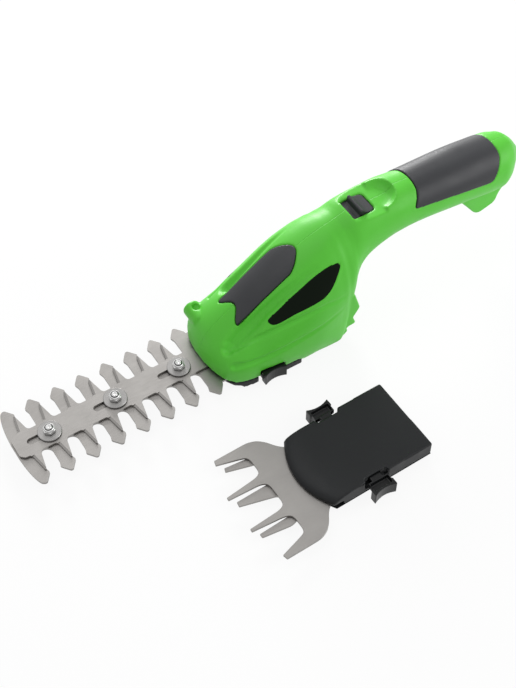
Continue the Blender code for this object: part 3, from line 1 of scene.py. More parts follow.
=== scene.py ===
# %% [markdown]
# # A cordless hedge trimmer with its spare grass shear head
#
# The working parts come ready made as a fixed frame: every joint, screw and blade is already in
# its real place, in metres, with +Z up. This lesson dresses that frame. It gives each surface its
# finish, swaps the faceted shells for smooth moulded ones, and lights the tool as a catalogue
# photograph would.

# %% Load the fixed frame
import json
import bmesh
import bpy
from math import atan, ceil, cos, exp, inf, pi, radians, sin, sqrt, tan
from mathutils import Matrix, Vector


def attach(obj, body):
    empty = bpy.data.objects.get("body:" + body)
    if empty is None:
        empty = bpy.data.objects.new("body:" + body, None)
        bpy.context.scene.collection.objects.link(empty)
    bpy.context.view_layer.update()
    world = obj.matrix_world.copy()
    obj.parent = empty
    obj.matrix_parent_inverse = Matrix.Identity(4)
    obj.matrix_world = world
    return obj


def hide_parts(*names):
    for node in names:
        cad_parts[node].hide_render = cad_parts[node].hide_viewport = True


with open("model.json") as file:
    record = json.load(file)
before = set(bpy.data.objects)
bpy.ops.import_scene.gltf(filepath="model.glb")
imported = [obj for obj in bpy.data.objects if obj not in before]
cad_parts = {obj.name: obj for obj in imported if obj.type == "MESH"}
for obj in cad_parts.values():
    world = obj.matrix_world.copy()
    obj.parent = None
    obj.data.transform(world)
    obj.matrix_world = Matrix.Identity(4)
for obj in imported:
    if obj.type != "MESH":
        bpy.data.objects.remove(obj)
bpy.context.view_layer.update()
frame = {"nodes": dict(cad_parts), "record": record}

MM = 0.001

# %% [markdown]
# ## The camera
#
# The tool was photographed from above its near side, with a fairly long lens. The camera could be
# placed by eye, but the regular pitch of the blade's teeth lets its place be worked out, so it is
# written here as an aim point, a direction and a distance.

# %% Place the camera
VIEW_AZIMUTH = radians(-32.3)
VIEW_ELEVATION = radians(52.8)
VIEW_DISTANCE = 771 * MM
AIM_POINT = Vector((-3.9, -9.1, 8.0)) * MM
FOCAL_PIXELS = 1299
PICTURE_HEIGHT = 688
SENSOR_WIDTH = 36.0


def make_camera():
    toward = Vector((-sin(VIEW_AZIMUTH) * cos(VIEW_ELEVATION), cos(VIEW_AZIMUTH) * cos(VIEW_ELEVATION),
                     -sin(VIEW_ELEVATION)))
    camera = bpy.data.objects.new("camera", bpy.data.cameras.new("camera"))
    camera.data.sensor_width = SENSOR_WIDTH
    camera.data.lens = FOCAL_PIXELS * SENSOR_WIDTH / PICTURE_HEIGHT
    camera.data.clip_start = 0.01
    camera.location = AIM_POINT - toward * VIEW_DISTANCE
    camera.rotation_euler = toward.to_track_quat("-Z", "Y").to_euler()
    bpy.context.scene.collection.objects.link(camera)
    bpy.context.scene.camera = camera
    return camera


camera = make_camera()
print("camera at mm:", [round(v / MM, 1) for v in camera.location], "lens", round(camera.data.lens, 2))

# %% [markdown]
# ## Writing shader maths as plain Python
#
# A finish is a small network of nodes. Wiring each one by hand hides the idea, so `Wire` wraps an
# output and lets Python's operators add the Math nodes, and `Finish.node` makes every other node
# from its type, its settings and what goes into its sockets.

# %% Wire and Finish
class Wire:
    """An output socket of a shader tree, on which sums can be written."""

    def __init__(self, finish, socket):
        self.finish = finish
        self.socket = socket

    def maths(self, operation, *values):
        return self.finish.node("ShaderNodeMath", {"operation": operation}, dict(enumerate(values)))

    def __add__(self, other):
        return self.maths("ADD", self, other)

    def __radd__(self, other):
        return self.maths("ADD", other, self)

    def __sub__(self, other):
        return self.maths("SUBTRACT", self, other)

    def __rsub__(self, other):
        return self.maths("SUBTRACT", other, self)

    def __mul__(self, other):
        return self.maths("MULTIPLY", self, other)

    def __rmul__(self, other):
        return self.maths("MULTIPLY", other, self)

    def __truediv__(self, other):
        return self.maths("DIVIDE", self, other)

    def clamped(self):
        return self.finish.node("ShaderNodeClamp", {}, {0: self})


class Finish:
    """A material whose nodes are made from expressions."""

    def __init__(self, name):
        self.material = bpy.data.materials.new(name)
        self.material.use_nodes = True
        self.tree = self.material.node_tree
        self.shader = self.tree.nodes["Principled BSDF"]

    def join(self, socket, value):
        if isinstance(value, Wire):
            self.tree.links.new(value.socket, socket)
        elif isinstance(value, tuple) and len(value) == 3 and socket.type == "RGBA":
            socket.default_value = (*value, 1.0)
        else:
            socket.default_value = value

    def node(self, kind, settings, inputs, output=0):
        made = self.tree.nodes.new(kind)
        for key, value in settings.items():
            setattr(made, key, value)
        for key, value in inputs.items():
            self.join(made.inputs[key], value)
        return Wire(self, made.outputs[output])

    def ramp(self, value, stops):
        made = self.tree.nodes.new("ShaderNodeValToRGB")
        band = made.color_ramp.elements
        for spare in range(len(stops) - 2):
            band.new(0.5)
        for element, (place, level) in zip(band, stops):
            element.position = place
            element.color = (level, level, level, 1.0)
        self.join(made.inputs[0], value)
        return Wire(self, made.outputs[0])

    def surface(self, **inputs):
        for key, value in inputs.items():
            self.join(self.shader.inputs[key.replace("_", " ")], value)
        return self.material

    def point(self, stretch=(1.0, 1.0, 1.0)):
        """Place on the object in millimetres, times a stretch along each axis."""
        place = self.node("ShaderNodeTexCoord", {}, {}, "Object")
        scale = tuple(s / MM for s in stretch)
        return self.node("ShaderNodeVectorMath", {"operation": "MULTIPLY"}, {0: place, 1: scale})

    def noise(self, size, detail=2.0, stretch=(1.0, 1.0, 1.0)):
        """Soft noise from 0 to 1 whose lumps measure about size in millimetres."""
        return self.node("ShaderNodeTexNoise", {}, {"Vector": self.point(stretch), "Scale": 1.0 / size,
                                                   "Detail": detail}, "Fac")

    def blend(self, amount, first, second):
        return self.node("ShaderNodeMix", {"data_type": "RGBA"}, {0: amount, 6: first, 7: second}, 2)

    def bump(self, height, depth, strength=1.0):
        """Surface normal from a height of 0 to 1 that stands for depth in millimetres."""
        return self.node("ShaderNodeBump", {}, {"Height": height, "Distance": depth * MM,
                                               "Strength": strength})


# %% [markdown]
# ## The moulded green plastic
#
# The shells are injection moulded in a bright green with a fine spark-eroded grain that breaks up
# the highlight. One noise at a third of a millimetre gives the grain, and a second, wide one shifts
# the colour by a few hundredths, because a moulding is never one flat colour.

# %% Plastic and rubber finishes
GREEN = (0.104, 0.560, 0.044)
DEEP_GREEN = (0.088, 0.505, 0.035)


def moulded_plastic(name, light, deep, roughness, grain_size, grain_depth, handled, shine=0.5):
    finish = Finish(name)
    finish.shader.inputs["Specular IOR Level"].default_value = shine
    grain = finish.noise(grain_size, 3.0)
    drift = finish.noise(38.0, 1.0)
    rubbed = finish.ramp(finish.noise(11.0, 4.0), ((0.48, 0.0), (0.66, 1.0)))
    colour = finish.blend(drift, deep, light)
    return finish.surface(
        Base_Color=colour,
        Roughness=roughness - rubbed * handled + grain * 0.06,
        Normal=finish.bump(grain, grain_depth),
    )


finishes = {
    "green_plastic": moulded_plastic("green_plastic", GREEN, DEEP_GREEN, 0.40, 0.35, 0.02, 0.06, 0.28),
    "dark_rubber": moulded_plastic("dark_rubber", (0.029, 0.030, 0.034), (0.024, 0.025, 0.028), 0.42,
                                   0.25, 0.03, 0.08, 0.35),
    "badge_black": moulded_plastic("badge_black", (0.001, 0.005, 0.0006), (0.0006, 0.003, 0.0004), 0.30,
                                   2.5, 0.01, 0.05, 0.08),
    "black_plastic": moulded_plastic("black_plastic", (0.012, 0.013, 0.014), (0.009, 0.010, 0.011), 0.42,
                                     0.30, 0.02, 0.07, 0.22),
    "latch_gloss": moulded_plastic("latch_gloss", (0.006, 0.0065, 0.007), (0.004, 0.0045, 0.005), 0.30,
                                   0.30, 0.01, 0.06, 0.25),
    "cell_wrap": moulded_plastic("cell_wrap", (0.03, 0.12, 0.45), (0.02, 0.09, 0.38), 0.34, 1.2, 0.01, 0.05),
    "board_laminate": moulded_plastic("board_laminate", (0.012, 0.17, 0.065), (0.008, 0.13, 0.05), 0.45,
                                      0.8, 0.02, 0.04),
}
print("plastics:", sorted(finishes))

# %% [markdown]
# ## The metals
#
# The blades are stamped from sheet and ground along their length, so their scratches run one way.
# Noise that is stretched twenty times along X gives them, as a change of roughness and a shallow
# bump.

# %% Metal finishes
def ground_metal(name, light, dark, roughness, scratch_depth, lengthways=20.0, line=0.35):
    finish = Finish(name)
    lines = finish.noise(line, 2.0, (1.0 / lengthways, 1.0, 1.0))
    clouds = finish.noise(14.0, 3.0)
    colour = finish.blend((clouds * 0.7 + lines * 0.3).clamped(), dark, light)
    return finish.surface(
        Base_Color=colour,
        Metallic=1.0,
        Roughness=roughness + (lines - 0.5) * 0.16 + (clouds - 0.5) * 0.10,
        Normal=finish.bump(lines, scratch_depth),
    )


finishes["blade_steel"] = ground_metal("blade_steel", (0.315, 0.304, 0.292), (0.250, 0.240, 0.230), 0.38, 0.01)
finishes["washer_steel"] = ground_metal("washer_steel", (0.30, 0.295, 0.29), (0.25, 0.245, 0.24), 0.36, 0.008, 1.0)
finishes["zinc_steel"] = ground_metal("zinc_steel", (0.66, 0.66, 0.65), (0.54, 0.54, 0.54), 0.28, 0.006, 3.0)
finishes["sintered_bronze"] = ground_metal("sintered_bronze", (0.46, 0.30, 0.14), (0.36, 0.22, 0.09), 0.42,
                                           0.02, 1.0)
finishes["motor_can"] = ground_metal("motor_can", (0.50, 0.50, 0.51), (0.40, 0.40, 0.41), 0.34, 0.006, 6.0)

for row in frame["record"]["subparts"]:
    solid = frame["nodes"][row["node"]]
    solid.data.materials.clear()
    solid.data.materials.append(finishes[row["material_slot"]])
print("finishes:", len(finishes))

# %% [markdown]
# ## Solids from rings and outlines
#
# The frame's shells are faceted, because they are made for physics. The ones that the camera sees
# are built again with many more points. Everything in this cell turns rings or flat outlines into
# closed meshes. An outline's corners are eased, because neither a stamping nor a moulding has a
# mathematically sharp corner.

# %% Closed meshes
def closed_mesh(vertices, faces):
    """A mesh in metres from corners in millimetres, with its faces turned outward."""
    bm = bmesh.new()
    corners = [bm.verts.new(Vector(v) * MM) for v in vertices]
    for face in faces:
        bm.faces.new([corners[i] for i in face])
    bmesh.ops.recalc_face_normals(bm, faces=bm.faces)
    if bm.calc_volume(signed=True) < 0:
        bmesh.ops.reverse_faces(bm, faces=bm.faces)
    mesh = bpy.data.meshes.new("solid")
    bm.to_mesh(mesh)
    bm.free()
    return mesh


def loft(rings):
    count = len(rings[0])
    faces = [list(range(count)), list(range((len(rings) - 1) * count, len(rings) * count))]
    for r in range(len(rings) - 1):
        for i in range(count):
            j = (i + 1) % count
            faces.append([r * count + i, r * count + j, (r + 1) * count + j, (r + 1) * count + i])
    return closed_mesh([p for ring in rings for p in ring], faces)


def along(axis, a, b, height):
    return {"X": (height, a, b), "Y": (a, height, b), "Z": (a, b, height)}[axis]


def prism(outline, low, high, axis="Z"):
    return loft([[along(axis, a, b, h) for a, b in outline] for h in (low, high)])


def block(x, y, z):
    return prism([(x[0], y[0]), (x[1], y[0]), (x[1], y[1]), (x[0], y[1])], z[0], z[1])


def circle(centre, radius, count=48, turn=0.0):
    steps = [turn + 2 * pi * i / count for i in range(count)]
    return [(centre[0] + radius * cos(a), centre[1] + radius * sin(a)) for a in steps]


def arc(centre, radius, start, end, count):
    steps = [radians(start + (end - start) * i / count) for i in range(count + 1)]
    return [(centre[0] + radius * cos(a), centre[1] + radius * sin(a)) for a in steps]


def turned(profile, centre, axis="Z", count=48):
    """Solid turned round an axis; the profile is radius, height from end to end."""
    return loft([[along(axis, *p, h) for p in circle(centre, r, count)] for r, h in profile])


def eased(outline, radius, steps=4, sharp=None):
    """The outline with each corner replaced by a short curve; sharp picks corners that stay tight."""
    made = []
    count = len(outline)
    wide = radius
    for i, corner in enumerate(outline):
        radius = 0.3 if sharp and sharp(corner) else wide
        here = Vector(corner)
        ends = []
        for other in (outline[i - 1], outline[(i + 1) % count]):
            away = Vector(other) - here
            ends.append(here + away * min(radius / away.length, 0.45))
        for k in range(steps + 1):
            t = k / steps
            made.append(tuple(ends[0] * (1 - t) ** 2 + here * 2 * t * (1 - t) + ends[1] * t**2))
    return made


# %% [markdown]
# ## Cutting, joining and softening
#
# Booleans shape a solid as a machinist would, one cut after another. A moulded part also has small
# radii on every edge, which Booleans leave sharp. A voxel remesh rebuilds the whole skin from even
# squares, and a few rounds of smoothing then melt each edge to a radius of about one voxel, with
# no need to pick the edges for a bevel.

# %% Booleans and soft edges
def taken_from(thing):
    """The mesh of an object after its modifiers; the object goes."""
    graph = bpy.context.evaluated_depsgraph_get()
    mesh = bpy.data.meshes.new_from_object(thing.evaluated_get(graph))
    bpy.data.objects.remove(thing, do_unlink=True)
    return mesh


def in_scene(mesh, name="work"):
    thing = bpy.data.objects.new(name, mesh)
    bpy.context.scene.collection.objects.link(thing)
    return thing


def boolean(mesh, tool, operation, solver="EXACT"):
    target, other = in_scene(mesh), in_scene(tool, "tool")
    step = target.modifiers.new("step", "BOOLEAN")
    step.operation = operation
    step.solver = solver
    step.object = other
    result = taken_from(target)
    bpy.data.objects.remove(other, do_unlink=True)
    return result


def cut(mesh, *tools):
    for tool in tools:
        mesh = boolean(mesh, tool, "DIFFERENCE")
    return mesh


def fuse(mesh, *tools):
    for tool in tools:
        mesh = boolean(mesh, tool, "UNION")
    return mesh


def together(*meshes):
    """Several closed meshes in one, side by side."""
    bm = bmesh.new()
    for mesh in meshes:
        bm.from_mesh(mesh)
    mesh = bpy.data.meshes.new("together")
    bm.to_mesh(mesh)
    bm.free()
    return mesh


def softened(mesh, voxel, rounds):
    """The solid with an even skin and every edge melted to about the voxel's size."""
    thing = in_scene(mesh)
    skin = thing.modifiers.new("even_skin", "REMESH")
    skin.mode = "VOXEL"
    skin.voxel_size = voxel * MM
    melt = thing.modifiers.new("melt", "SMOOTH")
    melt.factor = 0.5
    melt.iterations = rounds
    made = taken_from(thing)
    for vertex in made.vertices:
        vertex.co.z = max(vertex.co.z, 0.0)
    return made


def show(name, mesh, slot, body, *nodes, finish=None, angle=40.0):
    """Put a finished piece in the scene in the place of the frame's plain ones."""
    mesh.name = name
    mesh.materials.clear()
    mesh.materials.append(finish or finishes[slot])
    mesh.shade_smooth()
    mesh.set_sharp_from_angle(angle=radians(angle))
    made = in_scene(mesh, name)
    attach(made, body)
    if nodes:
        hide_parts(*nodes)
    print(name, "faces:", len(mesh.polygons))
    return made


# %% [markdown]
# ## The body as a row of cross-sections
#
# The green body is one flowing form: a wedge at the nose, a deep belly and a slim handle. A boat
# builder would draw it as frames along a keel, and this table does the same. Each row gives the top
# and bottom, the half width, where it is widest, and how square its lower and upper corners are.
# The rows between are worked out with a curve that never overshoots them.

# %% Cross-sections of the body
BODY_SECTIONS = (
    (-39.2, 15.5, 3.0, 5.0, 9.0, 2.5, 2.1),
    (-38.7, 18.0, 0.0, 8.8, 10.0, 2.5, 2.1),
    (-38.0, 20.4, -4.0, 12.4, 11.0, 2.5, 2.1),
    (-37.0, 22.9, -7.0, 16.0, 12.5, 2.5, 2.1),
    (-35.0, 26.4, -9.0, 20.4, 14.0, 2.5, 2.0),
    (-32.0, 30.0, -10.5, 23.8, 15.0, 2.5, 2.0),
    (-28.0, 33.5, -11.5, 26.2, 15.0, 2.5, 1.95),
    (-22.0, 38.0, -11.5, 28.2, 15.0, 2.6, 1.9),
    (-14.0, 43.6, -11.5, 29.2, 15.0, 2.7, 1.85),
    (0.0, 53.2, -11.5, 30.8, 17.0, 2.6, 1.95),
    (25.0, 67.2, -11.5, 31.8, 20.0, 2.6, 2.3),
    (38.0, 72.2, -11.5, 30.4, 26.0, 3.8, 2.35),
    (43.0, 73.8, -10.0, 29.2, 31.0, 5.6, 2.25),
    (46.0, 74.6, -3.0, 28.4, 35.0, 6.0, 2.2),
    (48.5, 75.2, 8.0, 27.0, 39.0, 5.6, 2.1),
    (51.4, 75.9, 19.0, 26.2, 43.0, 4.6, 2.05),
    (53.8, 76.5, 28.0, 25.0, 47.0, 3.6, 2.0),
    (56.4, 77.4, 33.7, 22.6, 51.0, 2.7, 2.15),
    (60.8, 79.0, 38.3, 20.2, 56.0, 2.2, 2.5),
    (68.0, 80.7, 43.4, 18.6, 60.5, 2.05, 2.6),
    (78.0, 82.0, 47.3, 17.8, 63.5, 2.0, 2.5),
    (89.0, 82.3, 49.4, 17.3, 65.6, 2.0, 2.5),
    (101.0, 81.4, 49.8, 16.8, 65.4, 2.0, 2.4),
    (138.0, 80.4, 46.4, 17.4, 63.0, 2.0, 2.45),
    (168.0, 78.2, 42.8, 17.2, 59.8, 2.0, 2.4),
    (176.0, 77.4, 43.2, 13.6, 59.8, 2.0, 2.4),
    (181.5, 73.0, 46.4, 8.8, 59.8, 2.0, 2.1),
    (185.2, 67.6, 50.6, 5.8, 59.4, 2.0, 2.1),
    (187.2, 64.8, 53.0, 4.0, 58.8, 2.0, 2.1),
    (188.0, 61.6, 56.0, 1.8, 58.8, 2.0, 2.1),
)
SECTION_X = [row[0] for row in BODY_SECTIONS]
NOSE_X, END_X = SECTION_X[0], SECTION_X[-1]
RING_STEP = 2.0
SKIN_POINTS = 40


def slope_at(xs, ys, i):
    if i in (0, len(xs) - 1):
        return 0.0
    before = (ys[i] - ys[i - 1]) / (xs[i] - xs[i - 1])
    after = (ys[i + 1] - ys[i]) / (xs[i + 1] - xs[i])
    return 0.0 if before * after <= 0 else 2 * before * after / (before + after)


def smooth_value(xs, ys, x):
    x = min(max(x, xs[0]), xs[-1])
    i = max(k for k in range(len(xs) - 1) if xs[k] <= x)
    width = xs[i + 1] - xs[i]
    t = (x - xs[i]) / width
    start, end = slope_at(xs, ys, i) * width, slope_at(xs, ys, i + 1) * width
    return ((2 * t**3 - 3 * t**2 + 1) * ys[i] + (t**3 - 2 * t**2 + t) * start
            + (3 * t**2 - 2 * t**3) * ys[i + 1] + (t**3 - t**2) * end)


def section(x, inset=0.0):
    """Top, bottom, half width, widest height and corner powers, moved in by the inset."""
    top, bottom, half, widest, low_power, top_power = [
        smooth_value(SECTION_X, [row[k] for row in BODY_SECTIONS], x) for k in range(1, 7)]
    if inset > 0:
        for beside in (section(x - inset), section(x + inset)):
            top, bottom, half = min(top, beside[0]), max(bottom, beside[1]), min(half, beside[2])
    return top - inset, bottom + inset, max(half - inset, 0.3), widest, low_power, top_power


def half_ring(x, inset, floor, count):
    """From the top line round the side to the bottom line, as (y, z)."""
    top, bottom, half, widest, low_power, top_power = section(x, inset)
    widest = min(max(widest, bottom + 0.5), top - 0.5)
    points = []
    for i in range(count + 1):
        angle = pi / 2 - pi * i / count
        power, reach = (top_power, top - widest) if angle >= 0 else (low_power, bottom - widest)
        y = half * max(cos(angle), 0.0) ** (2 / power)
        points.append((y, max(widest + reach * abs(sin(angle)) ** (2 / power), floor)))
    return points


def ring_places(step):
    places = []
    for a, b in zip(SECTION_X, SECTION_X[1:]):
        parts = max(1, round((b - a) / step))
        places += [a + (b - a) * k / parts for k in range(parts)]
    return places + [END_X]


def skin(inset=0.0, floor=-99.0, step=RING_STEP, count=SKIN_POINTS):
    """The body's outer skin as one closed solid, moved in by the inset."""
    rings = []
    for x in ring_places(step):
        half = half_ring(x, inset, floor, count)
        rings.append([(x, y, z) for y, z in half[:-1]] + [(x, -y, z) for y, z in half[:0:-1]])
    return loft(rings)


# %% [markdown]
# ## What is added to the skin and what is cut from it
#
# Three wedge-shaped vent louvres stand off the belly's rear wall, a foot hangs below the handle's
# end, and a short turret rises round the nose screw on the far side. Everything else is a cut: the
# skirt over the cassette, the arched mouth, room for the latches, the deck of the thumb switch with
# the bowl behind it, the screw holes, and shallow beds for the inlays.

# %% Louvres, foot and turret
LOUVRES = (((53.2, 33.5), (57.2, 20.6), (53.0, 13.9)), ((52.7, 13.6), (55.0, 7.3), (49.1, 6.4)),
           ((48.4, 6.2), (49.4, 2.9), (46.8, 0.6)))
LOUVRE_ROOT = 12.0
LOUVRE_HALF_WIDTH = 26.6
FOOT_HALF_WIDTH = 7.0
FOOT_OUTLINE = ((141.0, 50.0), (144.0, 43.4), (149.0, 37.2), (157.0, 26.8), (161.0, 24.8),
                (173.0, 28.4), (174.6, 35.6), (178.4, 41.0), (180.0, 50.0), (174.0, 56.0))
SCREWS = (("nose", -29.5, 24.5, 12.0), ("belly", 43.0, 40.0, 16.0), ("neck", 57.0, 49.0, 12.0),
          ("grip", 91.0, 60.0, 9.0), ("end", 173.5, 70.0, 6.0))
TURRET_RADIUS = 5.4
TURRET_Y = 24.8


def added_forms():
    made = []
    for edge in LOUVRES:
        root = [(x - LOUVRE_ROOT, z) for x, z in (edge[-1], edge[0])]
        made.append(prism(list(edge) + root, -LOUVRE_HALF_WIDTH, LOUVRE_HALF_WIDTH, "Y"))
    made.append(prism(eased(FOOT_OUTLINE, 3.0), -FOOT_HALF_WIDTH, FOOT_HALF_WIDTH, "Y"))
    x, z, seat = SCREWS[0][1:]
    made.append(turned([(TURRET_RADIUS, seat), (TURRET_RADIUS, TURRET_Y)], (x, z), "Y"))
    return together(*made)


# %% Cuts for the blade head
GAP = 0.3
FAR = 64.0
SKIRT_Z = 5.8
SKIRT_END_X = 14.0
SKIRT_SLANT = 3.0
MOUTH_HALF_WIDTH = 24.6
MOUTH_RISE = 5.2
MOUTH_DEPTH_X = -28.0
LATCH_ROOM_X = (-14.2, 1.2)
LATCH_ROOM_Y = 24.6
LATCH_ROOM_Z = 11.3


def head_cuts():
    skirt = prism([(NOSE_X - FAR, -GAP), (SKIRT_END_X + SKIRT_SLANT, -GAP),
                   (SKIRT_END_X - SKIRT_SLANT, SKIRT_Z), (NOSE_X - FAR, SKIRT_Z)], -FAR, FAR, "Y")
    arch = [(-MOUTH_HALF_WIDTH, -2 * GAP), (MOUTH_HALF_WIDTH, -2 * GAP)]
    arch += [(MOUTH_HALF_WIDTH * cos(radians(a)), SKIRT_Z + MOUTH_RISE * sin(radians(a)))
             for a in range(0, 181, 5)]
    rooms = [block(LATCH_ROOM_X, y, (-2 * GAP, LATCH_ROOM_Z))
             for y in ((LATCH_ROOM_Y, FAR - 1), (1 - FAR, -LATCH_ROOM_Y))]
    return fuse(skirt, prism(arch, NOSE_X - FAR - 1, MOUTH_DEPTH_X, "X"), *rooms)


# %% [markdown]
# ## The deck of the thumb switch
#
# The thumb slides forward on a flat deck. Behind it the handle's round back rises, and its foot is
# hollowed as a bowl, so that the thumb can roll off. The bowl is turned on the lathe from a profile
# and then stretched a little sideways.

# %% Deck, bowl and switch window
DECK_Z = 77.6
DECK_LIP_X = 61.2
BOWL_X = 81.5
BOWL_PROFILE = ((5.0, 77.6), (7.5, 78.0), (9.5, 79.2), (11.0, 81.0), (11.9, 83.5), (12.4, 90.0))
BOWL_STRETCH = 1.147
WINDOW_X = (61.5, 76.8)
WINDOW_HALF = 7.7
WINDOW_CORNER = 3.0


def deck_cut():
    slab = block((DECK_LIP_X, BOWL_X), (-20.0, 20.0), (DECK_Z, 90.0))
    bowl = turned(BOWL_PROFILE, (0.0, 0.0))
    bowl.transform(Matrix.Translation((BOWL_X * MM, 0, 0)) @ Matrix.Diagonal((1, BOWL_STRETCH, 1, 1)))
    corner = WINDOW_X[1] - WINDOW_CORNER
    side = WINDOW_HALF - WINDOW_CORNER
    window = ([(WINDOW_X[0], WINDOW_HALF), (WINDOW_X[0], -WINDOW_HALF)]
              + arc((corner, -side), WINDOW_CORNER, -90, 0, 8) + arc((corner, side), WINDOW_CORNER, 0, 90, 8))
    return fuse(slab, bowl, prism(window, 75.0, DECK_Z + 1.0))


# %% [markdown]
# ## Beds for the inlays
#
# The pad on the hump has a swallow-tailed front, the badge plates are leaf shaped, and the rubber
# grip is a saddle over the handle. Each bed is the outline, a hair wider than its inlay, driven into
# the body down to a copy of the skin that lies deeper. The inlay is cut from the same two skins, so
# it always follows the body.

# %% Outlines of the inlays
INLAY_DEPTH = 1.5
RUBBER_PROUD = 0.25
BADGE_PROUD = 0.1
PAD_POINTS = ((-13.9, 0.0), (-14.3, 2.4), (-16.2, 5.0), (-18.2, 7.4), (-19.2, 10.2), (-16.8, 10.3),
              (-8.0, 10.4), (4.0, 10.5), (16.9, 10.5), (20.8, 8.2), (24.6, 4.2), (26.2, 1.6))
BADGE_LOW_EDGE = ((-3.6, 40.4), (-2.2, 39.6), (1.2, 40.2), (11.6, 44.0), (21.0, 46.3), (29.3, 48.4),
                  (34.6, 51.6), (38.0, 55.7), (41.2, 59.4))
BADGE_TOP_EDGE = ((43.4, 62.0), (43.0, 63.4), (41.1, 64.0), (35.5, 63.2), (29.0, 61.2), (23.6, 58.8),
                  (12.8, 52.6), (4.6, 47.2), (-3.2, 42.3), (-4.1, 41.2))
BADGE_FAR_DROP = 7.5
BADGE_LAP = 0.25       # how far a badge's rim lies over the edge of its bed
GRIP_TOP = 85.0
GRIP_LOW_EDGE = ((99.5, 71.6), (127.0, 68.1), (155.3, 63.6))
GRIP_REAR_BOW = ((157.9, 65.2), (159.8, 68.3), (162.6, 73.0), (165.6, 77.5))
GRIP_FRONT_BOW = ((105.4, 80.6), (102.8, 77.2), (100.9, 74.2))


def grown(points, amount):
    """Outline moved outward by an amount, corner by corner; points run either way round."""
    count = len(points)
    area = sum(points[i - 1][0] * points[i][1] - points[i][0] * points[i - 1][1] for i in range(count))
    turn = 1 if area > 0 else -1
    made = []
    for i, corner in enumerate(points):
        before = (Vector(corner) - Vector(points[i - 1])).normalized()
        after = (Vector(points[(i + 1) % count]) - Vector(corner)).normalized()
        out = (before + after).normalized()
        share = max(0.5, sqrt(max(0.0, (1 + before.dot(after)) / 2)))
        made.append((corner[0] + turn * out.y * amount / share, corner[1] - turn * out.x * amount / share))
    return made


def pad_outline():
    return eased(list(PAD_POINTS) + [(x, -y) for x, y in reversed(PAD_POINTS) if y > 0], 1.6)


def badge_outline(drop=0.0):
    return eased([(x, z - drop) for x, z in BADGE_LOW_EDGE + BADGE_TOP_EDGE], 2.0)


def grip_outline():
    return eased(list(GRIP_LOW_EDGE + GRIP_REAR_BOW) + [(GRIP_REAR_BOW[-1][0], GRIP_TOP),
                 (GRIP_FRONT_BOW[0][0], GRIP_TOP)] + list(GRIP_FRONT_BOW), 2.0)


INLAYS = (
    ("top_grip_pad", "dark_rubber", -RUBBER_PROUD, pad_outline(), "Z", (20.0, GRIP_TOP)),
    ("handle_grip_insert", "dark_rubber", -RUBBER_PROUD, grip_outline(), "Y", (-FAR, FAR)),
    ("badge_plate_near", "badge_black", -BADGE_PROUD, badge_outline(), "Y", (-FAR, -7.4)),
    ("badge_plate_far", "badge_black", BADGE_PROUD / 2, badge_outline(BADGE_FAR_DROP), "Y", (7.4, FAR)),
)


def inlay_beds():
    deep = skin(INLAY_DEPTH)
    return [cut(prism(grown(outline, GAP if slot == "dark_rubber" else -BADGE_LAP), *reach, axis), deep.copy())
            for _, slot, _, outline, axis, reach in INLAYS]

# %% Other cuts and the softened body
SCREW_RECESS_RADIUS = 3.75
NOSE_RECESS_RADIUS = 2.2
TURRET_HOLE = (-28.4, 19.8, 27.3)
TURRET_HOLE_RADIUS = 2.4
END_SLOT = (73.2, 1.9, 8.6)
SOCKET_BORE_RADIUS = 3.95
SOCKET_Z = 58.8
SOCKET_FRONT_X = 178.0
BODY_VOXEL = 0.65
BODY_ROUNDS = 8


def small_cuts():
    radii = [NOSE_RECESS_RADIUS] + [SCREW_RECESS_RADIUS] * 4
    screws = [turned([(radius, seat), (radius, FAR)], (x, z), "Y")
              for radius, (_, x, z, seat) in zip(radii, SCREWS)]
    socket = turned([(SOCKET_BORE_RADIUS, SOCKET_FRONT_X), (SOCKET_BORE_RADIUS, END_X + 2)],
                    (0.0, SOCKET_Z), "X")
    dimple = turned([(TURRET_HOLE_RADIUS, TURRET_HOLE[2]), (TURRET_HOLE_RADIUS, 45.0)], TURRET_HOLE[:2])
    slot_z, radius, start = END_SLOT
    slot = turned([(radius, start), (radius, FAR)], (SCREWS[-1][1], slot_z), "Y")
    return together(socket, dimple, *screws[:-1], fuse(screws[-1], slot))


body_mesh = fuse(skin(floor=0.0), added_forms())
body_mesh = cut(body_mesh, together(head_cuts(), deck_cut(), *inlay_beds()), small_cuts())
body_mesh = softened(body_mesh, BODY_VOXEL, BODY_ROUNDS)
print("body faces:", len(body_mesh.polygons))

# %% [markdown]
# ## Grooves pressed into the flanks
#
# Two shallow flutes run along each flank, and a wide hollow between the pad and the badge opens
# towards the nose. They are too soft for a Boolean. Each one is a path along the flank with a depth
# and a width at every point, and the skin's vertices near it are pushed inward by a bell curve.
# A low rim under the near badge is raised in the same way, with a negative depth.

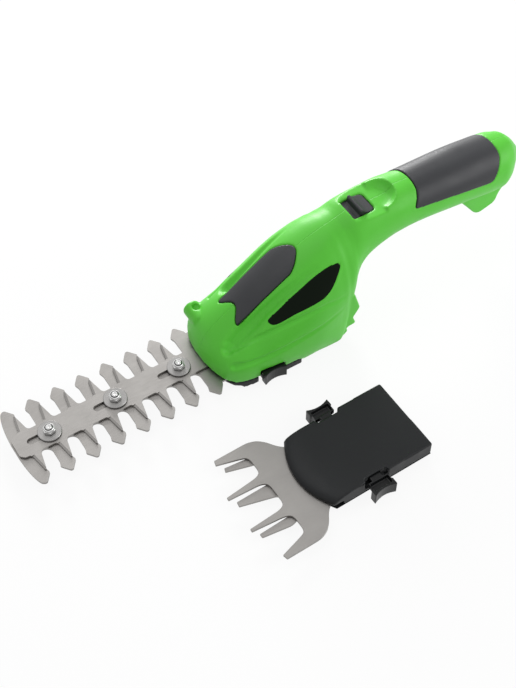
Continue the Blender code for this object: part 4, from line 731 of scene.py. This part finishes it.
# %% Flutes and hollow
# Each point: x, y of the near flank, z, depth and half width
HOLLOW = ((-29.2, -16.8, 28.4, 3.0, 3.2), (-26.0, -16.4, 30.9, 3.9, 4.2), (-20.0, -16.0, 34.8, 3.8, 4.6),
          (-11.2, -15.7, 40.1, 3.5, 4.0), (-4.0, -15.5, 45.2, 3.1, 3.3), (5.3, -15.9, 51.1, 2.5, 2.9),
          (14.4, -16.5, 56.4, 1.9, 2.6), (23.2, -16.5, 61.5, 1.2, 2.3), (31.6, -16.5, 65.0, 0.1, 2.0))
FAR_STARTS = (3, 1, 2)   # points left out on the far flank, where the turret stands
HOLLOW_FILL_END = 8      # points of the hollow behind which the wall is thickened
BELL_REACH = 3.0         # half widths at which the bell curve ends
HOLLOW_FILL_RADIUS = 5.6
UPPER_FLUTE = ((-29.0, -17.2, 27.9, 0.6, 1.9), (-19.2, -20.1, 31.4, 1.2, 1.7), (-8.4, -22.7, 34.6, 1.1, 1.6),
               (4.8, -25.6, 38.6, 1.0, 1.5), (16.4, -27.8, 41.2, 0.9, 1.5), (30.4, -29.0, 43.0, 0.7, 1.5),
               (44.4, -28.4, 41.8, 0.1, 1.5))
LOWER_FLUTE = ((-29.2, -24.3, 20.8, 1.5, 2.2), (-22.4, -26.7, 21.3, 1.3, 1.7), (-12.0, -28.5, 21.6, 1.1, 1.6),
               (1.3, -30.3, 23.8, 1.0, 1.5), (14.9, -31.2, 26.3, 0.8, 1.5), (24.4, -31.6, 28.4, 0.6, 1.4),
               (42.0, -29.9, 32.4, 0.1, 1.4))
BADGE_RIM = ((-3.4, -21.0, 39.2, -0.2, 0.8), (1.2, -23.2, 39.0, -0.3, 0.8), (11.6, -25.4, 42.8, -0.3, 0.8),
             (29.3, -27.6, 47.2, -0.3, 0.8), (38.6, -25.4, 54.6, -0.3, 0.8), (43.6, -21.6, 61.0, -0.2, 0.8))


def pressed(mesh, path, side):
    """Push the skin inward along a path on one flank, or outward where the depth is negative."""
    points = [(Vector((x, -side * y, z)) * MM, depth * MM, width * MM) for x, y, z, depth, width in path]
    reach = BELL_REACH * max(width for _, _, width in points)
    low = [min(p[k] for p, _, _ in points) - reach for k in range(3)]
    high = [max(p[k] for p, _, _ in points) + reach for k in range(3)]
    normals = [vertex.normal.copy() for vertex in mesh.vertices]
    for vertex, normal in zip(mesh.vertices, normals):
        here = vertex.co
        if not all(low[k] < here[k] < high[k] for k in range(3)):
            continue
        best = (inf, 0.0)
        for (start, depth_0, width_0), (end, depth_1, width_1) in zip(points, points[1:]):
            run = end - start
            t = min(max((here - start).dot(run) / run.length_squared, 0.0), 1.0)
            away = (here - start - run * t).length / (width_0 + (width_1 - width_0) * t)
            if away < best[0]:
                best = (away, depth_0 + (depth_1 - depth_0) * t)
        if best[0] < BELL_REACH:
            vertex.co = here - normal * best[1] * exp(-best[0] ** 3)


for side, starts in ((-1, (0, 0, 0)), (1, FAR_STARTS)):
    for path, first in zip((HOLLOW, UPPER_FLUTE, LOWER_FLUTE), starts):
        pressed(body_mesh, path[first:], side)
pressed(body_mesh, BADGE_RIM, -1)

# %% [markdown]
# ## Two half shells, hollow inside
#
# The body is moulded as two halves that meet on the centre plane, with a hairline gap. Inside, the
# frame's own shells already hold every rib and screw boss. The space that they leave free is worked
# out by a cut, and that space is then taken out of the smooth halves. That last cut uses the solver
# for closed meshes, because the exact one lost faces on the finely divided halves.

# %% Halves of the skin
HALF_GAP = 0.05


def half_of(mesh, side):
    """The part of a closed mesh on one side of the centre plane, closed again."""
    bm = bmesh.new()
    bm.from_mesh(mesh)
    bmesh.ops.bisect_plane(bm, geom=bm.verts[:] + bm.edges[:] + bm.faces[:], clear_inner=True,
                           plane_co=(0, side * HALF_GAP * MM, 0), plane_no=(0, side, 0))
    rim = [edge for edge in bm.edges if edge.is_boundary]
    bmesh.ops.contextual_create(bm, geom=rim)
    bmesh.ops.recalc_face_normals(bm, faces=bm.faces)
    half = bpy.data.meshes.new("half")
    bm.to_mesh(half)
    bm.free()
    return half

# %% Room inside a half
CORE_INSET = 1.85
CORE_STEP = 7.0
CORE_POINTS = 14
CORE_OVERLAP = 1.0
LIP_WALL = 1.5
POCKET_TOP_Z = 76.5
POCKET_END_X = 99.0


def free_space(name, side):
    """The empty room inside one of the frame's half shells."""
    low, high, lip = NOSE_X - FAR, END_X + FAR, DECK_LIP_X - LIP_WALL
    plan = [(low, -FAR), (high, -FAR), (high, 2 * FAR), (POCKET_END_X, 2 * FAR), (POCKET_END_X, POCKET_TOP_Z),
            (lip, POCKET_TOP_Z), (lip, 2 * FAR), (low, 2 * FAR)]
    core = boolean(skin(CORE_INSET, -GAP, CORE_STEP, CORE_POINTS),
                   prism(plan, *sorted((-side * CORE_OVERLAP, side * FAR)), "Y"), "INTERSECT")
    thick_wall = loft([[(x, side * -y + a, z + b) for a, b in circle((0, 0), HOLLOW_FILL_RADIUS, 16)]
                       for x, y, z, _, _ in HOLLOW[1:HOLLOW_FILL_END]])
    return cut(core, thick_wall, frame["nodes"][name].data.copy())


SLIDER_ROOM_X = (57.2, 82.0)
SLIDER_ROOM_HALF = 8.15
SLIDER_ROOM_Z = (69.5, 76.35)
PLATE_CORNER = 4.0


def rounded_plate(x, half, z):
    """A flat plate with four rounded corners."""
    plan = [(x[0], -half), (x[1], -half), (x[1], half), (x[0], half)]
    return prism(eased(plan, PLATE_CORNER, 8), *z)


def slider_room(name):
    """The room under the deck in which the thumb slider's plate and lugs move."""
    return cut(rounded_plate(SLIDER_ROOM_X, SLIDER_ROOM_HALF, SLIDER_ROOM_Z), frame["nodes"][name].data.copy())


# %% Hollow halves
def open_edges(mesh):
    """Number of edges that don't join exactly two faces; a closed solid has none."""
    bm = bmesh.new()
    bm.from_mesh(mesh)
    found = sum(1 for edge in bm.edges if len(edge.link_faces) != 2)
    bm.free()
    return found


for name, side in (("housing_near", -1), ("housing_far", 1)):
    shell = half_of(body_mesh, side)
    for room in (free_space(name, side), slider_room(name)):
        shell = boolean(shell, room, "DIFFERENCE", "MANIFOLD")
    print(name, "faces:", len(shell.polygons), "open edges:", open_edges(shell))
    show(name + "_shell", shell, "green_plastic", "trimmer", name)

# %% Inlays
INLAY_VOXEL = 0.42
INLAY_ROUNDS = 4
underside = skin(INLAY_DEPTH - GAP)
for name, slot, inset, outline, axis, reach in INLAYS:
    blank = cut(boolean(skin(inset), prism(outline, *reach, axis), "INTERSECT"), underside.copy())
    if slot == "dark_rubber":
        blank = softened(blank, INLAY_VOXEL, INLAY_ROUNDS)
    show(name + "_smooth", blank, slot, "trimmer", name)

# %% [markdown]
# ## The thumb slider
#
# The slider is one rubber-faced moulding: a thin plate that runs below the deck, and on it a raised
# pad with a steep ridge in front, so that the thumb can push without slipping. The pad's side view is
# drawn as a line and pulled across, and the same remesh melts its edges.

# %% Slider
RIDGE_X = 67.7
RIDGE_LINE = ((-2.3, 75.9), (-2.2, 76.7), (-1.5, 76.9), (-1.2, 80.0), (-0.7, 80.8), (0.1, 80.9), (0.8, 80.4),
              (1.5, 79.4), (2.6, 78.5), (4.2, 77.8), (6.4, 77.3), (8.6, 77.1), (8.8, 75.9))
SLIDER_HALF = 7.3
PLATE_X = (60.9, 80.9)
PLATE_HALF = 8.0
PLATE_Z = (74.9, 76.2)
LUGS = ((69.1, 70.7), (74.3, 75.9))
LUG_HALF = 3.2
LUG_Z = (69.8, 75.6)


def slider_mesh():
    pad = prism([(RIDGE_X + x, z) for x, z in RIDGE_LINE], -SLIDER_HALF, SLIDER_HALF, "Y")
    plan = eased([(RIDGE_X - 3, -SLIDER_HALF), (76.5, -SLIDER_HALF), (76.5, SLIDER_HALF),
                  (RIDGE_X - 3, SLIDER_HALF)], 3.4, 8)
    pad = boolean(pad, prism(plan, 70.0, 90.0), "INTERSECT")
    lugs = [block(x, (-LUG_HALF, LUG_HALF), LUG_Z) for x in LUGS]
    return fuse(rounded_plate(PLATE_X, PLATE_HALF, PLATE_Z), pad, *lugs)


show("switch_slider_smooth", softened(slider_mesh(), 0.32, 3), "dark_rubber", "switch", "switch_slider")

# %% [markdown]
# ## The shrub blade: a fixed comb and a moving comb
#
# Both blades are stamped from sheet steel. The fixed one has barbed teeth that keep twigs from
# slipping off, and the moving one slides on it. Only the moving teeth are ground: a narrow bright
# bevel runs down the front edge of each, and it is real geometry here, a wedge planed off the edge.

# %% Outline of the fixed comb
HEAD_X = 36.0
TEETH_PER_SIDE = 8
TOOTH_PITCH = 16.0
FIRST_TOOTH_X = -41.0
BLADE_HALF_WIDTH = 27.6
BARB_Y = 22.5
BARB_HALF = 4.7
BARB_DEPTH = 3.2
TOOTH_TIP_HALF = 0.7
NECK_HALF = 3.7
GULLET_Y = 7.3
TIP_OVERHANG = 6.1
TAIL_HALF_WIDTH = 20.9
FIXED_TAIL_X = 18.0


def mirrored(side):
    return side + [(x, -y) for x, y in reversed(side) if abs(y) > 0.01]


def fixed_comb():
    side = [(FIXED_TAIL_X, TAIL_HALF_WIDTH), (FIRST_TOOTH_X + BARB_HALF, TAIL_HALF_WIDTH)]
    gullet = TOOTH_PITCH / 2 - NECK_HALF
    for k in range(TEETH_PER_SIDE):
        x = FIRST_TOOTH_X - k * TOOTH_PITCH
        if k > 0:
            side += [(x + NECK_HALF, BARB_Y - BARB_DEPTH)]
        side += [(x + BARB_HALF, BARB_Y), (x + TOOTH_TIP_HALF, BLADE_HALF_WIDTH),
                 (x - TOOTH_TIP_HALF, BLADE_HALF_WIDTH)]
        if k < TEETH_PER_SIDE - 1:
            side += [(x - BARB_HALF, BARB_Y), (x - NECK_HALF, BARB_Y - BARB_DEPTH)]
            side += arc((x - TOOTH_PITCH / 2, GULLET_Y + gullet), gullet, 0, -180, 14)
    last = FIRST_TOOTH_X - (TEETH_PER_SIDE - 1) * TOOTH_PITCH
    bow = TIP_OVERHANG - TOOTH_TIP_HALF
    side += [(last - TOOTH_TIP_HALF - bow * cos(radians(a)), BLADE_HALF_WIDTH * sin(radians(a)))
             for a in range(75, 5, -5)]
    return mirrored(side)


# %% Outline of the moving comb
CUTTER_HALF_WIDTH = 8.2
CUTTER_TOOTH_Y = 20.6
CUTTER_TOOTH_TIP = (1.6, 0.8)
CUTTER_TOOTH_ROOT = (3.9, -1.2)
CUTTER_ROOT_FILLET = 1.3
CUTTER_END_REACH = 7.5
CUTTER_END_CHAMFER = 2.4
CUTTER_TAIL_X = 10.0
CUTTER_SHIFT = 2.2


def moving_teeth():
    """The places of the moving teeth along X."""
    return [FIRST_TOOTH_X + CUTTER_SHIFT - k * TOOTH_PITCH for k in range(1, TEETH_PER_SIDE)]


def moving_comb():
    root = CUTTER_HALF_WIDTH
    flank = root + CUTTER_ROOT_FILLET
    side = [(CUTTER_TAIL_X, root)]
    for x in moving_teeth():
        side += [(x + CUTTER_TOOTH_ROOT[0] + CUTTER_ROOT_FILLET, root), (x + CUTTER_TOOTH_ROOT[0], flank),
                 (x + CUTTER_TOOTH_TIP[0], CUTTER_TOOTH_Y), (x + CUTTER_TOOTH_TIP[1], CUTTER_TOOTH_Y),
                 (x + CUTTER_TOOTH_ROOT[1], flank), (x + CUTTER_TOOTH_ROOT[1] - CUTTER_ROOT_FILLET, root)]
    tip = moving_teeth()[-1] - CUTTER_END_REACH
    return mirrored(side + [(tip + CUTTER_END_CHAMFER, root), (tip, root - CUTTER_END_CHAMFER)])


# %% Stamp the combs and grind the bevels
FIXED_Z = (6.5, 8.0)
CUTTER_Z = (8.3, 9.7)
BOLT_X = (-52.9, -94.9, -136.9)
BOLT_RADIUS = 1.9
CRANK_SLOT_X = (-7.3, 5.7)
CRANK_SLOT_HALF = 4.3
BEVEL_RUN = 1.15
BEVEL_DROP = 0.8
BOSS_X = 16.0
BOSS_HOLE = ((2.8, 0), (2.8, 20))
BOSS_Y = 15.5


def long_hole(x_low, x_high, half, low, high):
    outline = arc((x_high - half, 0), half, -90, 90, 12) + arc((x_low + half, 0), half, 90, 270, 12)
    return prism(outline, low, high)


def bevel_wedge(x, side):
    """Wedge that planes the top of a tooth's front edge."""
    root = Vector((x + CUTTER_TOOTH_ROOT[1], side * (CUTTER_HALF_WIDTH + CUTTER_ROOT_FILLET)))
    tip = Vector((x + CUTTER_TOOTH_TIP[1], side * CUTTER_TOOTH_Y))
    run = (tip - root).normalized()
    out = Vector((-abs(run.y), side * run.x if run.x >= 0 else -side * run.x))
    rings = []
    top = CUTTER_Z[1]
    for place in (root - run * 0.4, tip + run * 1.5):
        inner = place - out * BEVEL_RUN
        outer = place + out
        rings.append([(inner.x, inner.y, top),
                      (place.x + out.x * 0.02, place.y + out.y * 0.02, top - BEVEL_DROP),
                      (outer.x, outer.y, top - BEVEL_DROP), (outer.x, outer.y, top + 1),
                      (inner.x, inner.y, top + 1)])
    return loft(rings)


def stamped_edge(mesh, width=0.12):
    """Break the sharp edges of a stamping by a tenth of a millimetre."""
    thing = in_scene(mesh)
    edge = thing.modifiers.new("broken_edge", "BEVEL")
    edge.width = width * MM
    edge.segments = 1
    edge.limit_method = "ANGLE"
    edge.angle_limit = radians(50)
    return taken_from(thing)


fixed = prism(eased(fixed_comb(), 0.8), *FIXED_Z)
fixed = cut(fixed, together(*[turned([(BOLT_RADIUS + GAP, 0), (BOLT_RADIUS + GAP, 20)], (x, 0), count=24)
                              for x in BOLT_X],
                            *[turned(BOSS_HOLE, (BOSS_X, y), count=24) for y in (-BOSS_Y, BOSS_Y)]))
show("shrub_fixed_comb", stamped_edge(fixed), "blade_steel", "shrub_head", "shrub_fixed_blade", angle=20)

cutter = prism(eased(moving_comb(), 0.9), *CUTTER_Z)
holes = [long_hole(x - 14.0, x + BOLT_RADIUS + GAP + 4.7, BOLT_RADIUS + GAP, 0, 20) for x in BOLT_X]
cutter = cut(cutter, together(block(CRANK_SLOT_X, (-CRANK_SLOT_HALF, CRANK_SLOT_HALF), (0, 20)), *holes),
             together(*[bevel_wedge(x, side) for x in moving_teeth() for side in (-1, 1)]))
show("shrub_cutter_comb", stamped_edge(cutter, 0.1), "blade_steel", "shrub_cutter", "shrub_cutter", angle=20)

# %% [markdown]
# ## Bolts, washers and lock nuts
#
# Three bolts guide the moving comb. Each carries a wide washer of the same grey steel as the blade,
# and a bright lock nut: a hexagon with chamfered corners and, on top, a turned collar that holds a
# dark nylon ring.

# %% Washers and lock nuts
WASHER_RADIUS = 6.95
WASHER_Z = (10.0, 11.0)
NUT_Z = (11.3, 13.4)
NUT_CORNER = 3.8
COLLAR_TOP_Z = 14.5
NYLON_TOP_Z = 14.1


def lock_nut(x):
    hexagon = prism(eased(circle((x, 0), NUT_CORNER, 6, 0.3), 0.3), *NUT_Z)
    cone = turned([(3.4, NUT_Z[0] - 0.1), (3.75, NUT_Z[0] + 0.35), (3.75, NUT_Z[1] - 0.45),
                   (3.2, NUT_Z[1] + 0.1)], (x, 0))
    collar = turned([(3.1, NUT_Z[1] - 0.5), (3.1, COLLAR_TOP_Z - 0.6), (2.95, COLLAR_TOP_Z - 0.2),
                     (2.7, COLLAR_TOP_Z)], (x, 0))
    nut = fuse(boolean(hexagon, cone, "INTERSECT"), collar)
    nut = cut(nut, turned([(2.2, 0.0), (2.2, NYLON_TOP_Z - 0.5), (2.45, NYLON_TOP_Z - 0.49), (2.45, 20.0)], (x, 0)))
    return nut


def nylon_ring(x):
    ring = turned([(2.43, NYLON_TOP_Z - 0.45), (2.43, NYLON_TOP_Z)], (x, 0))
    return cut(ring, turned([(1.95, 10.0), (1.95, 20.0)], (x, 0)))


for k, x in enumerate(BOLT_X, 1):
    washer = turned([(WASHER_RADIUS - 0.1, WASHER_Z[0]), (WASHER_RADIUS, WASHER_Z[0] + 0.15),
                     (WASHER_RADIUS, WASHER_Z[1] - 0.25), (WASHER_RADIUS - 0.25, WASHER_Z[1])], (x, 0), count=64)
    washer = cut(washer, turned([(2.2, 0), (2.2, 20)], (x, 0), count=32))
    show("washer_%d" % k, washer, "zinc_steel", "shrub_head", "guide_washer_%d" % k,
         finish=finishes["washer_steel"], angle=20)
    show("lock_nut_%d" % k, lock_nut(x), "zinc_steel", "shrub_head", "guide_nut_%d" % k, angle=20)
    show("nylon_ring_%d" % k, nylon_ring(x), "black_plastic", "shrub_head", angle=20)
    bolt = turned([(2.7, 3.9), (3.4, 4.6), (3.4, 6.2), (1.9, 6.2), (1.9, 14.85), (1.55, 15.3), (1.0, 15.3),
                   (0.55, 15.0)], (x, 0), count=32)
    show("guide_bolt_%d_smooth" % k, bolt, "zinc_steel", "shrub_head", "guide_bolt_%d" % k, angle=20)

# %% [markdown]
# ## The grass shear
#
# The spare head lies upside down beside the tool, with its smooth base on top. Its fixed plate has
# four tines and its moving plate three. The outlines are drawn in the head's own frame, and one
# matrix lays the finished plates down where the head lies.

# %% Grass plates
CASSETTE_HEIGHT = 13.6
LAY_GRASS = (Matrix.Translation(Vector((38.3, -98.6, CASSETTE_HEIGHT)) * MM)
             @ Matrix.Rotation(radians(1.2), 4, "Z") @ Matrix.Rotation(pi, 4, "X"))
GRASS_PIVOT = 58.0
GRASS_SWING = 7.4
GRASS_ROOT = 88.2
TINE_PITCH = 23.2
TINE_TIP_HALF = 1.5
SLIM_TIP_HALF = 0.9
GRASS_OUTER_TIP = 105.4
GRASS_INNER_TIP = 112.2
SHOULDER = 36.3


def gap_side(tine, flank):
    out = 1 if flank > 0 else -1
    return [(-GRASS_ROOT - 4.6, tine + flank), (-GRASS_ROOT - 1.3, tine + flank + 1.2 * out),
            (-GRASS_ROOT, tine + flank + 3.6 * out)]


def grass_fixed_outline():
    near, outer = TINE_PITCH / 2, 1.5 * TINE_PITCH
    side = [(-15.0, TAIL_HALF_WIDTH), (-65.0, TAIL_HALF_WIDTH), (-68.5, 23.0), (-71.5, 26.2), (-74.5, 30.8),
            (-78.4, SHOULDER - 1.9), (-83.4, SHOULDER - 0.1), (-88.0, SHOULDER),
            (-GRASS_OUTER_TIP, outer + TINE_TIP_HALF), (-GRASS_OUTER_TIP - 0.8, outer - TINE_TIP_HALF)]
    side += gap_side(outer, -5.3) + list(reversed(gap_side(near, 2.7)))
    side += [(-GRASS_INNER_TIP, near + SLIM_TIP_HALF), (-GRASS_INNER_TIP, near - SLIM_TIP_HALF)]
    return mirrored(side + gap_side(near, -2.0))


def grass_moving_outline():
    tip, root = GRASS_INNER_TIP - GRASS_PIVOT - 3.0, GRASS_ROOT - GRASS_PIVOT - 2.0
    side = [(29.0, 7.6), (6.0, 8.6), (-4.0, 13.0), (-14.0, 16.5), (-20.0, 20.0), (-26.0, 22.6),
            (-root - 2.0, TINE_PITCH + 1.2), (-tip + 3.0, TINE_PITCH + 0.9),
            (-tip + 2.6, TINE_PITCH - TINE_TIP_HALF), (-root - 1.5, TINE_PITCH - 4.6),
            (-root, TINE_PITCH - 6.6), (-root, 6.6), (-root - 1.5, 4.6), (-tip, TINE_TIP_HALF)]
    turn = radians(GRASS_SWING)
    return [(x * cos(turn) - y * sin(turn) - GRASS_PIVOT, x * sin(turn) + y * cos(turn))
            for x, y in eased(mirrored(side), 2.0, sharp=lambda p: p[0] < -46)]


def fork_slot():
    """Slot of the moving plate's tail that the crank pin drives."""
    turn = radians(GRASS_SWING)
    corners = [(14.7, -1.8), (49.0, -1.8), (49.0, 1.8), (14.7, 1.8)]
    return prism([(x * cos(turn) - y * sin(turn) - GRASS_PIVOT, x * sin(turn) + y * cos(turn))
                  for x, y in corners], 0, 20)


TINE_CORNER = 2.2
TINE_TIP_X = -104      # in front of this the tines keep their tight corners
GRASS_BOSS_X = -20.0
pivot_hole = [(3.3, 0), (3.3, 20)]
blank = eased(grass_fixed_outline(), TINE_CORNER, sharp=lambda corner: corner[0] < TINE_TIP_X)
plate = cut(prism(blank, *FIXED_Z), turned(pivot_hole, (-GRASS_PIVOT, 0)),
            together(*[turned(BOSS_HOLE, (GRASS_BOSS_X, y), count=24) for y in (-BOSS_Y, BOSS_Y)]))
mover = cut(prism(grass_moving_outline(), *CUTTER_Z), turned(pivot_hole, (-GRASS_PIVOT, 0)), fork_slot())
for name, mesh, body, node in (("grass_fixed_plate", plate, "grass_head", "grass_fixed_blade"),
                               ("grass_moving_plate", mover, "grass_cutter", "grass_cutter")):
    mesh = stamped_edge(mesh)
    mesh.transform(LAY_GRASS)
    show(name, mesh, "blade_steel", body, node, angle=20)

# %% [markdown]
# ## Cassettes and latches
#
# The base of each blade head is a satin black moulding with a broad bowed front that rolls down to
# its edge. The frame's own trays are copied, the front is filled out with a form of many more
# points, a cutter takes off the roll, and the remesh melts it all into one. The latches get the same
# treatment, which rounds the hollow that the finger presses.

# %% Trays and latches
CASSETTE_LENGTH = 74.5
CASSETTE_HALF_WIDTH = 24.6
FRONT_SWEEP = 8.0
TRAY_VOXEL = 0.6
TRAY_TOP_Z = 6.1
ROLL_RUN = 15.0        # length over which the base rolls down to its front edge
ROLL_DROP = 4.6
STRIP_TOP_Z = 5.4
STRIP_SPANS = ((-32.0, -15.0), (2.0, 14.0))
LAY_SHRUB = Matrix.Translation((HEAD_X * MM, 0, 0))
SHRUB_LATCH_MIDDLE = -42.5
GRASS_LATCH_MIDDLE = -38.1
LATCH_HOLLOW_HALF = 5.9
LATCH_HOLLOW_Y = (26.0, 30.7)
LATCH_HOLLOW_Z = (1.0, 4.7)
LATCHES = (("shrub_latch_near", LAY_SHRUB, -1, SHRUB_LATCH_MIDDLE),
           ("shrub_latch_far", LAY_SHRUB, 1, SHRUB_LATCH_MIDDLE),
           ("grass_latch_near", LAY_GRASS, 1, GRASS_LATCH_MIDDLE),
           ("grass_latch_far", LAY_GRASS, -1, GRASS_LATCH_MIDDLE))


def front_x(y):
    """Bowed front edge of a tray, in its own frame."""
    return FRONT_SWEEP * (y / CASSETTE_HALF_WIDTH) ** 2 - CASSETTE_LENGTH


def roll_cutter():
    """Everything below the curved front third of the smooth base."""
    rings = []
    for i in range(33):
        y = 26.0 * (2 * i / 32 - 1)
        start = front_x(y) + ROLL_RUN
        low = [(start + 2.0, -3.0), (start, -0.01)]
        for k in range(1, 13):
            share = k / 12
            low.append((start - ROLL_RUN * share, ROLL_DROP * (1 - sqrt(1 - share**2))))
        rings.append([(x, y, z) for x, z in low + [(low[-1][0] - 3.0, ROLL_DROP), (low[-1][0] - 3.0, -3.0)]])
    return loft(rings)


def tray_front():
    """Front of the base with a true curve for its bow, drawn over the frame's straight steps."""
    ys = [CASSETTE_HALF_WIDTH * (2 * i / 60 - 1) for i in range(61)]
    plan = [(-52.5, CASSETTE_HALF_WIDTH), (-52.5, -CASSETTE_HALF_WIDTH)] + [(front_x(y), y) for y in ys]
    return prism(plan, 0.0, TRAY_TOP_Z)


def width_at(x, z):
    """Half width of the body at a height below its widest place."""
    _, bottom, half, widest, low_power, _ = section(x)
    share = (widest - z) / (widest - bottom)
    return half * (1 - share**low_power) ** (1 / low_power)


def skirt_strips():
    """Foot of the shrub tray that continues the green skirt down to the floor."""
    made = []
    for low, high in STRIP_SPANS:
        xs = [low + (high - low) * i / 12 for i in range(13)]
        for side in (-1, 1):
            plan = [(x, side * (width_at(x, SKIRT_Z) - 0.3)) for x in xs]
            plan += [(high, side * 22.0), (low, side * 22.0)]
            made.append(prism(plan, 0.0, STRIP_TOP_Z))
    return made


def soft_tray(node, lay, extra, body):
    front = tray_front()
    front.transform(lay)
    roll = roll_cutter()
    roll.transform(lay)
    beside = [block((-FAR, FAR), sorted((side * 24.7, side * FAR)), (-GAP, SKIRT_Z)) for side in (-1, 1)]
    base = frame["nodes"][node].data.copy()
    if extra:
        base = fuse(cut(base, *beside), *extra)
    mesh = softened(cut(fuse(base, front), roll), TRAY_VOXEL, 4)
    show(node + "_smooth", mesh, "black_plastic", body, node)


soft_tray("shrub_cassette_tray", LAY_SHRUB, skirt_strips(), "shrub_head")
soft_tray("grass_cassette_tray", LAY_GRASS, (), "grass_head")
for latch, lay, side, middle in LATCHES:
    hollow = block((middle - LATCH_HOLLOW_HALF, middle + LATCH_HOLLOW_HALF),
                   sorted((side * LATCH_HOLLOW_Y[0], side * LATCH_HOLLOW_Y[1])), LATCH_HOLLOW_Z)
    hollow.transform(lay)
    mesh = softened(cut(frame["nodes"][latch].data.copy(), hollow), 0.36, 3)
    show(latch + "_smooth", mesh, "black_plastic", latch, latch, finish=finishes["latch_gloss"])

# %% [markdown]
# ## Edges of the pieces that stay
#
# The covers and the small pieces inside are right as they are, but their edges are knife sharp. A
# bevel modifier breaks them by a few tenths of a millimetre, which leaves the frame's mesh alone.

# %% Break the edges of the plain pieces
EDGE_BREAK = {"shrub_cassette_cover": 0.5, "grass_cassette_cover": 0.5, "gearbox_plate": 0.3, "crank_bush": 0.2,
              "control_board": 0.15, "power_switch": 0.3, "switch_knob": 0.2, "charging_socket": 0.3}
for node, width in EDGE_BREAK.items():
    edge = frame["nodes"][node].modifiers.new("broken_edge", "BEVEL")
    edge.width = width * MM
    edge.segments = 2
    edge.limit_method = "ANGLE"
    edge.angle_limit = radians(35)
print("edges broken:", len(EDGE_BREAK))

# %% [markdown]
# ## Floor, world and lamps
#
# A catalogue picture has a white ground with hardly a shadow. The floor is white card, and for the
# camera it also glows by itself, which thins the shadow and doesn't throw a single extra ray on the
# tool.

# %% Stage and light
FLOOR_HALF = 4.0
FLOOR_GLOW = 0.90
WORLD_LEVEL = 0.54


def seen_directly(finish):
    """1 for rays from the camera, and for those that a shiny or clear surface sends on."""
    names = ("Is Camera Ray", "Is Glossy Ray", "Is Transmission Ray")
    camera_ray, glossy, clear = [finish.node("ShaderNodeLightPath", {}, {}, name) for name in names]
    return (camera_ray + glossy + clear).clamped()


def make_floor():
    corners = [(-FLOOR_HALF, -FLOOR_HALF, 0), (FLOOR_HALF, -FLOOR_HALF, 0), (FLOOR_HALF, FLOOR_HALF, 0),
               (-FLOOR_HALF, FLOOR_HALF, 0)]
    mesh = bpy.data.meshes.new("floor")
    mesh.from_pydata(corners, [], [(0, 1, 2, 3)])
    finish = Finish("white_card")
    card = finish.node("ShaderNodeBsdfDiffuse", {}, {"Color": (0.86, 0.86, 0.86)})
    glow = finish.node("ShaderNodeEmission", {}, {"Strength": 1.0})
    mixed = finish.node("ShaderNodeMixShader", {}, {0: seen_directly(finish) * FLOOR_GLOW, 1: card, 2: glow})
    output = finish.tree.nodes["Material Output"]
    finish.tree.links.new(mixed.socket, output.inputs["Surface"])
    finish.tree.nodes.remove(finish.shader)
    mesh.materials.append(finish.material)
    floor = bpy.data.objects.new("floor", mesh)
    floor.location.z = -0.2 * MM
    bpy.context.scene.collection.objects.link(floor)


def make_world():
    world = bpy.data.worlds.new("studio")
    world.use_nodes = True
    bpy.context.scene.world = world
    nodes, links = world.node_tree.nodes, world.node_tree.links
    light_path = nodes.new("ShaderNodeLightPath")
    either = nodes.new("ShaderNodeMath")
    either.operation = "MAXIMUM"
    links.new(light_path.outputs["Is Camera Ray"], either.inputs[0])
    links.new(light_path.outputs["Is Glossy Ray"], either.inputs[1])
    strength = nodes.new("ShaderNodeMapRange")
    strength.inputs["To Min"].default_value = WORLD_LEVEL
    strength.inputs["To Max"].default_value = 1.0
    links.new(either.outputs[0], strength.inputs["Value"])
    background = nodes["Background"]
    background.inputs["Color"].default_value = (1.0, 1.0, 1.0, 1.0)
    links.new(strength.outputs[0], background.inputs["Strength"])


def make_lamp(name, place, width, power):
    lamp = bpy.data.objects.new(name, bpy.data.lights.new(name, "AREA"))
    lamp.data.size = width
    lamp.data.energy = power
    lamp.location = Vector(place)
    lamp.rotation_euler = (AIM_POINT - lamp.location).to_track_quat("-Z", "Y").to_euler()
    bpy.context.scene.collection.objects.link(lamp)


make_floor()
make_world()
make_lamp("right_softbox", (0.62, -0.45, 0.42), 0.6, 3.0)
make_lamp("far_softbox", (0.40, 0.95, 0.36), 0.4, 13.0)
make_lamp("top_softbox", (-0.30, 0.35, 1.2), 0.8, 2.4)
bpy.context.scene.view_settings.view_transform = "Standard"
print("stage set, world level", WORLD_LEVEL)
